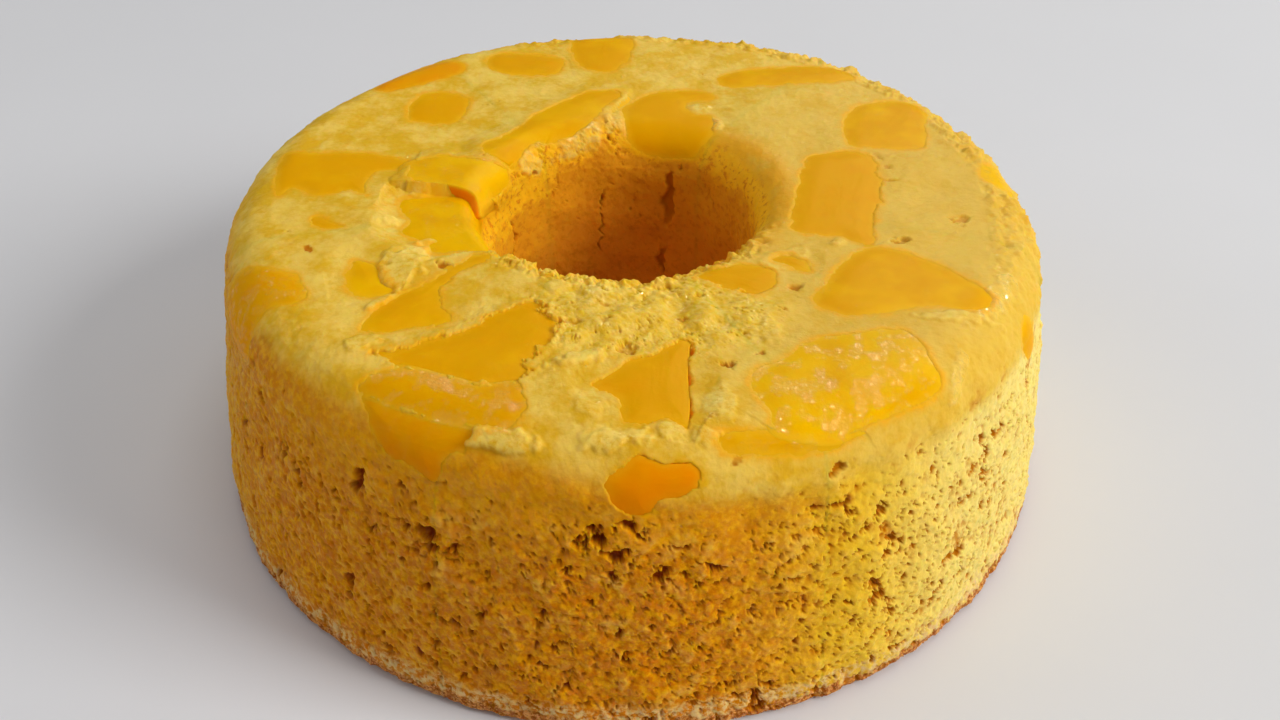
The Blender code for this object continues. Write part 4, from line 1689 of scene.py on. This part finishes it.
@dataclass(frozen=True)
class SliceForm:
    """How the slices are rounded and divided. The gap at an open side is in millimetres."""

    thickness: float = 4.5 * MM
    edge_drop: float = 1.5 * MM
    crown: float = 0.35 * MM
    open_gap: float = -0.5
    sides: int = 120
    rings: int = 26
    skirt_rings: int = 3
    tries: int = 300
    form: CakeForm = field(default_factory=CakeForm)
    relief: BroadRelief = field(default_factory=BroadRelief)
    sizes: FleshSizes = field(default_factory=FleshSizes)

    def tuck(self, piece: MangoSlice, outward: Field) -> Field:
        """Work out how far a slice reaches under the crumb.

        Args:
            piece: The slice.
            outward: Directions out of its outline.

        Returns:
            The reach in millimetres for each direction.
        """
        tuck = np.full(self.sides, piece.edge.value.tuck)
        if piece.open_side is not None:
            side = math.radians(piece.open_side)
            facing = outward @ np.array([math.cos(side), math.sin(side)])
            tuck += (self.open_gap - tuck) * smooth(0.7, 0.95, facing)
        return (np.roll(tuck, 1) + tuck + np.roll(tuck, -1)) / 3.0

    def rim(self, piece: MangoSlice) -> tuple[Field, Field]:
        """Draw the line to which a slice reaches under the crumb.

        Args:
            piece: The slice.

        Returns:
            Its middle and its line on the unrolled skin, in millimetres.
        """
        line = piece.opening()
        middle = line.mean(axis=0)
        closed = np.vstack([line, line[:1]])
        run = np.concatenate([[0.0], np.cumsum(np.hypot(*(closed[1:] - line).T))])
        wanted = np.arange(self.sides) * run[-1] / self.sides
        even = np.stack([np.interp(wanted, run, closed[:, axis]) for axis in (0, 1)], axis=1)
        after = np.roll(even, -1, axis=0)
        slope = after - np.roll(even, 1, axis=0)
        area = 0.5 * (even[:, 0] * after[:, 1] - even[:, 1] * after[:, 0]).sum()
        outward = np.stack([slope[:, 1], -slope[:, 0]], axis=1) * math.copysign(1.0, area)
        tuck = self.tuck(piece, outward / np.hypot(*outward.T)[:, None])
        angle = np.arctan2(even[:, 1] - middle[1], even[:, 0] - middle[0])
        order = np.argsort(angle)
        ray = np.stack([np.cos(angle[order]), np.sin(angle[order])], axis=1)
        steps = np.linspace(0.0, np.hypot(*(line - middle).T).max() + tuck.max(), self.tries)
        tried = (middle + steps[:, None, None] * ray).reshape(-1, 2)
        covered = inside(tried, line).reshape(self.tries, -1) > -tuck[order]
        furthest = steps[self.tries - 1 - covered[::-1].argmax(axis=0)]
        return middle, middle + ray * furthest[:, None]

    def faces(self, rings: int) -> Field:
        """Join rings of points, with a point before the first and after the last, into a closed skin.

        Args:
            rings: How many rings there are.

        Returns:
            Three point numbers a row.
        """
        step = np.arange(self.sides)
        after = (step + 1) % self.sides
        faces = [np.stack([step * 0, 1 + step, 1 + after], axis=1)]
        for low in range(1, 1 + (rings - 1) * self.sides, self.sides):
            high = low + self.sides
            faces.append(np.stack([low + step, high + step, high + after], axis=1))
            faces.append(np.stack([low + step, high + after, low + after], axis=1))
        last = 1 + (rings - 1) * self.sides
        faces.append(np.stack([last + step, step * 0 + last + self.sides, last + after], axis=1))
        return np.concatenate(faces)

    def build(self, piece: MangoSlice, material: bpy.types.Material) -> bpy.types.Object:
        """Make one slice as a closed mesh.

        Args:
            piece: The slice.
            material: Its finish.

        Returns:
            The slice's object.
        """
        middle, rim = self.rim(piece)
        levels = [(index / self.rings, 0.0) for index in range(1, self.rings + 1)]
        levels += [(1.0, index / self.skirt_rings) for index in range(1, self.skirt_rings + 1)]
        levels.append((0.5, 1.0))
        spots = [middle[None]] + [middle + (rim - middle) * share for share, _ in levels] + [middle[None]]
        places = np.concatenate(spots)
        sunk = np.concatenate([[0.0], np.repeat([level[1] for level in levels], self.sides), [1.0]])
        bare = inside(places, piece.opening())
        style = piece.edge.value
        fall = self.crown * smooth(5.0, -0.5, bare) + self.edge_drop * smooth(-0.2, -style.tuck, bare)
        surface = piece.sink * MM - self.crown + fall
        floor = piece.sink * MM + min(self.thickness, piece.width * MM / 2)
        depth = surface + (floor - surface) * sunk
        skin, normals = self.form.skin(places)
        points = skin + normals * (self.relief.swell(skin) - depth)[:, None]
        mesh = mesh_of(piece.name + "_flesh", points, self.faces(len(levels)))
        along = piece.axis()
        even = {"tone": piece.tone, "wet": piece.wet, "film": style.film, "ragged": style.ragged}
        give(mesh, {
            "outward": normals,
            "top": 1.0 - sunk,
            "inside": bare,
            "along": (places - middle) @ along,
            "across": (places - middle) @ np.array([-along[1], along[0]]),
            **{name: np.full(len(places), value) for name, value in even.items()},
        })
        carved = worked(mesh, self.tree(material), self.sizes.named())
        carved.name = piece.name + "_flesh"
        carved.shade_smooth()
        return link(piece.name + "_flesh", carved)

    def tree(self, material: bpy.types.Material) -> bpy.types.NodeTree:
        """Build the geometry tree that gives the flesh its waves and fibres.

        Args:
            material: The flesh's finish.

        Returns:
            The tree, made once.
        """
        known = bpy.data.node_groups.get("flesh_relief")
        if known:
            return known
        graph, given = geometry_tree("flesh_relief", self.sizes.named())
        place = graph.shifted_place(given["Shift"])
        strands = {0: graph.attribute("along") * 0.12, 1: graph.attribute("across")}
        fibre = graph.swing(graph.made("ShaderNodeCombineXYZ", strands), 0.9, 2.0, 0.6)
        height = graph.swing(place, 7.0, 1.0, 0.4) * given["Wave Height"]
        height = (fibre * given["Fibre Height"] + height) * graph.attribute("top")
        return finish_tree(graph, given["Geometry"], height, material)


def begin_finish(
    name: str, settings: dict[str, object]
) -> tuple[bpy.types.Material, Graph, bpy.types.bpy_prop_collection]:
    """Begin a finish.

    Args:
        name: The material's name.
        settings: Even values of its main shader, by its inputs' names.

    Returns:
        The material, its graph and the inputs of its main shader.
    """
    material = bpy.data.materials.new(name)
    material.use_nodes = True
    inputs = material.node_tree.nodes["Principled BSDF"].inputs
    for label, value in settings.items():
        inputs[label].default_value = value
    return material, Graph(material.node_tree), inputs


@dataclass(frozen=True)
class CrumbFinish:
    """Colours of the baked crumb in its zones, with painted light and shade among them, and sizes and levels
    of its patterns in millimetres.
    """

    skin: Colour = srgb(224, 172, 24)
    skin_pale: Colour = srgb(238, 198, 84)
    # the lit and sunny colours here are painted light for the side that the key light faces
    skin_painted_lit: Colour = srgb(222, 176, 62)
    crumb: Colour = srgb(209, 121, 0)
    crumb_light: Colour = srgb(232, 162, 4)
    crumb_painted_lit: Colour = srgb(240, 214, 116)
    crumb_painted_sunny: Colour = srgb(242, 204, 46)
    # painted light on the left side's crumb
    crumb_left_painted_light: Colour = srgb(230, 170, 36)
    # painted highlight on the tops of the crumb's clumps
    crest: Colour = srgb(240, 200, 90)
    # painted shade for the crumb's pores, caves, hollows and cracks, with a lighter copy for the side that
    # the key light faces
    crevice: Colour = srgb(196, 116, 2)
    cavity: Colour = srgb(150, 60, 0)
    cavity_painted_lit: Colour = srgb(206, 138, 30)
    torn: Colour = srgb(230, 182, 30)
    bore: Colour = srgb(250, 186, 26)
    # painted shade of the hole's rim where it turns away from the light
    rim_shade: Colour = srgb(230, 160, 6)
    # painted shade: the colours of the hole's wall below the ragged line
    bore_shaded: Colour = srgb(230, 158, 26)
    bore_deep_shaded: Colour = srgb(228, 148, 30)
    bore_speck: Colour = srgb(216, 138, 20)
    # partly paler crumb and partly painted highlight, for the raised lumps
    highlight: Colour = srgb(244, 212, 100)
    crust: Colour = srgb(158, 84, 20)
    crust_light: Colour = srgb(224, 158, 84)
    crumbs: Colour = srgb(228, 192, 124)
    # soaked crumb; along the slices' borders it is also used as painted light
    soaked: Colour = srgb(240, 168, 4)
    # painted light on the crumb's drop into a slice's pocket
    border: Colour = srgb(246, 174, 12)
    blotch_size: float = 8.0
    mottle_size: float = 1.6
    shade_edge_size: float = 5.0
    shade_edge_swing: float = 26.0
    foot_size: float = 2.6
    foot_swing: float = 7.0
    crust_size: float = 0.9
    damp_size: float = 2.4
    fine_size: float = 0.55
    bead_size: float = 1.2
    crumbs_level: Spot = (9.5, 6.0)
    crust_level: Spot = (4.6, 3.2)

    def wall_colour(self, graph: Graph, blotch: Wire, mottle: Wire) -> Wire:
        """Colour the skin of the top, the open crumb of the wall and the torn crumb, with painted light on
        the side that the key light faces, on the left side and on the clumps' tops.

        Args:
            graph: The finish's graph.
            blotch: A broad noise.
            mottle: A fine noise.

        Returns:
            The colour.
        """
        # painted light: skin and crumb on the side that the key light faces get lit copies of their colours
        lit = graph.attribute("lit")
        speckle = lit * 0.07 + ((mottle - 0.5) * 0.35 + blotch)
        skin = graph.layered(
            self.skin, (graph.step(speckle, 0.34, 0.68), self.skin_pale), (lit * 0.7, self.skin_painted_lit)
        )
        crumb = graph.layered(
            self.crumb,
            (graph.step(mottle, 0.38, 0.66), self.crumb_light),
            (graph.step(lit, 0.0, 0.6) * 0.7, self.crumb_painted_sunny),
            (graph.step(lit, 0.45, 1.0) * 0.9, self.crumb_painted_lit),
            (graph.attribute("left"), self.crumb_left_painted_light),
            (graph.attribute("crest") * 0.4, self.crest),
        )
        torn = graph.tint(graph.step(mottle, 0.35, 0.7), self.torn, self.skin_pale)
        return graph.layered(
            skin,
            (graph.step(graph.attribute("wall"), 0.15, 0.75), crumb),
            (self.torn_share(graph), torn),
            (graph.attribute("moist") * 0.6, self.soaked),
        )

    @staticmethod
    def torn_share(graph: Graph) -> Wire:
        """Say how much of the crumb's skin is torn off."""
        return graph.math("MAXIMUM", graph.attribute("torn"), graph.attribute("crag"))

    def bore_colour(self, graph: Graph, level: Wire, mottle: Wire) -> Wire:
        """Colour the hole's wall, with painted shade below a ragged line.

        Args:
            graph: The finish's graph.
            level: The height in millimetres.
            mottle: A fine noise.

        Returns:
            The colour.
        """
        # painted shade: the hole's wall is painted darker below a ragged line
        shade_edge = graph.swing(graph.place(), self.shade_edge_size, 4.0, 0.6)
        shade_edge = shade_edge * self.shade_edge_swing + level - graph.attribute("painted_shade_line")
        return graph.layered(
            self.bore,
            (graph.step(shade_edge, 1.5, -3.5), self.bore_shaded),
            (graph.step(shade_edge, -6.0, -26.0), self.bore_deep_shaded),
            (graph.step(mottle, 0.5, 0.66), self.bore_speck),
        )

    def build(self) -> bpy.types.Material:
        """Make the finish.

        Returns:
            The material.
        """
        material, graph, inputs = begin_finish("baked_crumb", {
            "Roughness": 0.6, "Specular IOR Level": 0.04, "Subsurface Weight": 0.6,
            "Subsurface Radius": (1.0, 0.45, 0.1), "Subsurface Scale": 1.5 * MM, "Coat Roughness": 0.08,
        })
        place = graph.place()
        level = graph.parts(place)[2]
        wall = graph.attribute("wall")
        bare = graph.attribute("bare")
        pale = graph.attribute("pale")
        blotch = graph.noise(place, self.blotch_size, 3.0, 0.6)
        mottle = graph.noise(place, self.mottle_size, 3.0, 0.65)
        upper = wall * -0.9 + 1.0
        outer = graph.step(wall, 0.6, 0.9)
        near = graph.step(bare, -1.8, 0.2) * upper
        soft = graph.step(graph.attribute("width"), 0.8, 3.6)
        foot = graph.swing(place, self.foot_size, 3.0) * self.foot_swing + level
        grain = graph.step(graph.noise(place, self.crust_size, 3.0, 0.7), 0.42, 0.6)
        torn = self.torn_share(graph)
        mild = graph.clamped(pale * -0.7 + (graph.math("MAXIMUM", torn, near) * -0.5 + 1.0))
        # painted shade: pores, caves, hollows and cracks are painted darker, milder on torn, pale and edge
        # crumb and lighter on the side that the key light faces
        cavity = graph.attribute("cavity") * mild
        hollow_shade = graph.tint(graph.attribute("lit"), self.cavity, self.cavity_painted_lit)
        colour = graph.layered(
            self.wall_colour(graph, blotch, mottle),
            # painted shade on the hole's rim
            (graph.attribute("golden") * graph.step(blotch, 0.2, 0.5) * 0.8, self.rim_shade),
            (graph.clamped(graph.attribute("deep") * 14.0), self.bore_colour(graph, level, mottle)),
            # partly crumb soaked with juice and partly painted light: the crumb's drop into a slice's pocket
            # is tinted orange so that its shade doesn't turn olive
            (near * graph.mix(soft, 0.3, 0.5), self.soaked),
            # partly paler crumb and partly painted highlight on the raised lumps
            (pale * graph.step(mottle, 0.3, 0.6) * 0.7, self.highlight),
            (graph.step(bare, -0.7, 0.2) * upper * 0.55, self.border),
            (graph.step(foot, *self.crumbs_level) * outer * graph.step(mottle, 0.4, 0.6), self.crumbs),
            (graph.step(foot, *self.crust_level) * outer, graph.tint(grain, self.crust, self.crust_light)),
            (graph.step(cavity, 0.0, 0.6), self.crevice),
            (graph.step(cavity, 0.5, 1.0), hollow_shade),
        )
        damp = graph.step(graph.noise(place, self.damp_size, 4.0, 0.7), 0.44, 0.54)
        share = graph.clamped(wall * 0.25 + (torn * 0.2 + 0.06) + graph.attribute("wet"))
        graph.feed(inputs["Base Color"], colour)
        graph.feed(inputs["Normal"], graph.bump(graph.noise(place, self.fine_size, 2.0, 0.6), 0.6, 0.15))
        graph.feed(inputs["Coat Weight"], damp * share)
        graph.feed(inputs["Coat Normal"], graph.bump(graph.noise(place, self.bead_size), 1.0, 1.7))
        return material


@dataclass(frozen=True)
class FleshFinish:
    """Colours of the mango's flesh, with painted light and shade among them, and sizes and levels of its
    patterns in millimetres.
    """

    pale: Colour = srgb(244, 184, 0)
    middle: Colour = srgb(231, 162, 0)
    deep: Colour = srgb(240, 138, 0)
    film: Colour = srgb(246, 188, 34)
    border: Colour = srgb(250, 182, 30)
    # painted light: the cut sides face away from the light and are painted a bright deep orange
    cut_side: Colour = srgb(255, 146, 6)
    cloud_size: float = 9.0
    stray_size: float = 2.6
    patch_size: float = 3.0
    fine_size: float = 0.7
    bead_size: float = 1.1
    # heights over which the flesh turns deeper orange, partly its own tone and partly painted shade
    lower_level: Spot = (69.0, 56.0)

    def build(self) -> bpy.types.Material:
        """Make the finish.

        Returns:
            The material.
        """
        material, graph, inputs = begin_finish("mango_flesh_ripe", {
            "Roughness": 0.48, "Specular IOR Level": 0.01, "Subsurface Weight": 0.3,
            "Subsurface Radius": (1.0, 0.4, 0.08), "Subsurface Scale": 2.0 * MM,
            "Coat Roughness": 0.1, "Coat IOR": 1.36,
        })
        place = graph.place()
        within = graph.attribute("inside")
        # partly the flesh's own tone and partly painted shade: slices are deeper orange lower down, where
        # they turn down into shade
        lower = graph.step(graph.parts(place)[2], *self.lower_level)
        tone = lower * 0.35 + (graph.swing(place, self.cloud_size) * 0.7 + graph.attribute("tone"))
        depth = graph.swing(place, self.stray_size, 3.0, 0.6) * 3.5 + within
        bare = stray_line(graph, graph.moved(place, (CrumbSizes.shift,) * 3), within)
        colour = graph.layered(
            self.pale,
            (graph.step(tone, 0.1, 0.5), self.middle),
            (graph.step(tone, 0.5, 1.2), self.deep),
            (graph.step(depth, graph.attribute("film"), -1.0) * 0.45, self.film),
            (graph.step(bare, 2.2, 0.2) * (lower * -0.27 + 0.3), self.border),
            # painted light on the slices' cut sides, which face away from the light
            (graph.step(graph.attribute("top"), 0.99, 0.8), self.cut_side),
        )
        patches = graph.step(graph.noise(place, self.patch_size, 3.0, 0.65), 0.49, 0.56)
        graph.feed(inputs["Base Color"], colour)
        graph.feed(inputs["Normal"], graph.bump(graph.noise(place, self.fine_size, 3.0, 0.65), 0.3, 0.12))
        graph.feed(inputs["Coat Weight"], graph.attribute("wet") * patches)
        graph.feed(inputs["Coat Normal"], graph.bump(graph.noise(place, self.bead_size), 1.0, 1.5))
        return material


class Shine(Enum):
    """What a light can be seen in."""

    ALL = "colour and gloss"
    COLOUR = "colour only"
    GLOSS = "gloss only"


@dataclass(frozen=True)
class Lamp:
    """A square soft light that faces the cake.

    Attributes:
        name: The light's name.
        place: Where it hangs, to the right, to the back and up.
        size: The side of its square.
        power: Its power in watts.
        shine: What it can be seen in.
        colour: Its colour.
    """

    name: str
    place: tuple[float, float, float]
    size: float
    power: float
    shine: Shine = Shine.ALL
    colour: tuple[float, float, float] = (1.0, 1.0, 1.0)

    def build(self, target: Vector) -> None:
        """Hang the light.

        Args:
            target: The place that it faces.
        """
        light = bpy.data.lights.new(self.name, "AREA")
        light.shape = "SQUARE"
        light.size = self.size
        light.energy = self.power
        light.color = self.colour
        item = link(self.name, light)
        item.location = self.place
        item.rotation_euler = (target - item.location).to_track_quat("-Z", "Y").to_euler()
        item.visible_glossy = self.shine is not Shine.COLOUR
        item.visible_diffuse = self.shine is not Shine.GLOSS


WARM = (1.0, 0.92, 0.66)
LAMPS = (
    Lamp("key_light", (1.95, -0.6, 1.3), 1.0, 41.0, Shine.COLOUR),
    Lamp("fill_light", (-2.0, 0.2, 0.9), 1.2, 5.0),
    Lamp("top_light", (0.3, 0.0, 2.0), 1.0, 8.0, Shine.COLOUR),
    Lamp("glint_light_back", (0.6, 1.5, 1.25), 0.24, 42.0, Shine.GLOSS, WARM),
    Lamp("glint_light_side", (1.25, 0.8, 1.35), 0.24, 42.0, Shine.GLOSS, WARM),
)


@dataclass(frozen=True)
class Studio:
    """The pale floor, the light and the camera. Angles are in radians."""

    camera_place: tuple[float, float, float] = (0.0003, -0.2778, 0.2319)
    pitch: float = 0.654
    yaw: float = -0.004
    roll: float = -0.003
    lens: float = 37.9
    sensor_width: float = 36.0
    nearest: float = 0.01
    floor_half: float = 3.0
    floor_drop: float = 0.05 * MM
    floor_colour: Colour = srgb(224, 224, 225)
    floor_shade: float = 0.96
    cloud_size: float = 90.0
    light_target: tuple[float, float, float] = (0.0, 0.0, 0.04)
    sky_colour: Colour = srgb(236, 236, 240)
    sky_strength: float = 0.34

    def floor(self) -> bpy.types.Object:
        """Make the floor.

        Returns:
            The floor's object.
        """
        corners = np.array([(-1.0, -1.0, 0.0), (1.0, -1.0, 0.0), (1.0, 1.0, 0.0), (-1.0, 1.0, 0.0)])
        points = corners * self.floor_half - (0.0, 0.0, self.floor_drop)
        mesh = mesh_of("studio_floor", points, np.array([(0, 1, 2), (0, 2, 3)]))
        material, graph, inputs = begin_finish("pale_floor", {"Roughness": 0.9, "Specular IOR Level": 0.1})
        shade = (*(channel * self.floor_shade for channel in self.floor_colour[:3]), 1.0)
        cloud = graph.noise(graph.place(), self.cloud_size)
        graph.feed(inputs["Base Color"], graph.tint(cloud, shade, self.floor_colour))
        mesh.materials.append(material)
        return link("studio_floor", mesh)

    def sky(self) -> None:
        """Make the even light from all round."""
        world = bpy.data.worlds.new("pale_room")
        world.use_nodes = True
        back = world.node_tree.nodes["Background"]
        back.inputs["Color"].default_value = self.sky_colour
        back.inputs["Strength"].default_value = self.sky_strength
        bpy.context.scene.world = world
        bpy.context.scene.view_settings.view_transform = "Standard"

    def camera(self) -> None:
        """Set up the camera."""
        camera = bpy.data.cameras.new("photo_camera")
        camera.lens = self.lens
        camera.sensor_width = self.sensor_width
        camera.clip_start = self.nearest
        item = link("photo_camera", camera)
        item.location = self.camera_place
        item.rotation_euler = (QUARTER - self.pitch, self.roll, self.yaw)
        bpy.context.scene.camera = item

    def build(self) -> None:
        """Set up the floor, lights, sky and camera."""
        self.floor()
        for lamp in LAMPS:
            lamp.build(Vector(self.light_target))
        self.sky()
        self.camera()


def main() -> None:
    """Build the cake and the studio, and declare every piece."""
    logging.basicConfig(level=logging.INFO)
    crumb = CrumbFinish().build()
    for piece in CakeCrumb().build(crumb):
        declare(piece, "cake_sponge")
    flesh = FleshFinish().build()
    shaper = SliceForm()
    for mango in MANGO:
        declare(shaper.build(mango, flesh), mango.name)
    Studio().build()


if __name__ == "__main__":
    main()
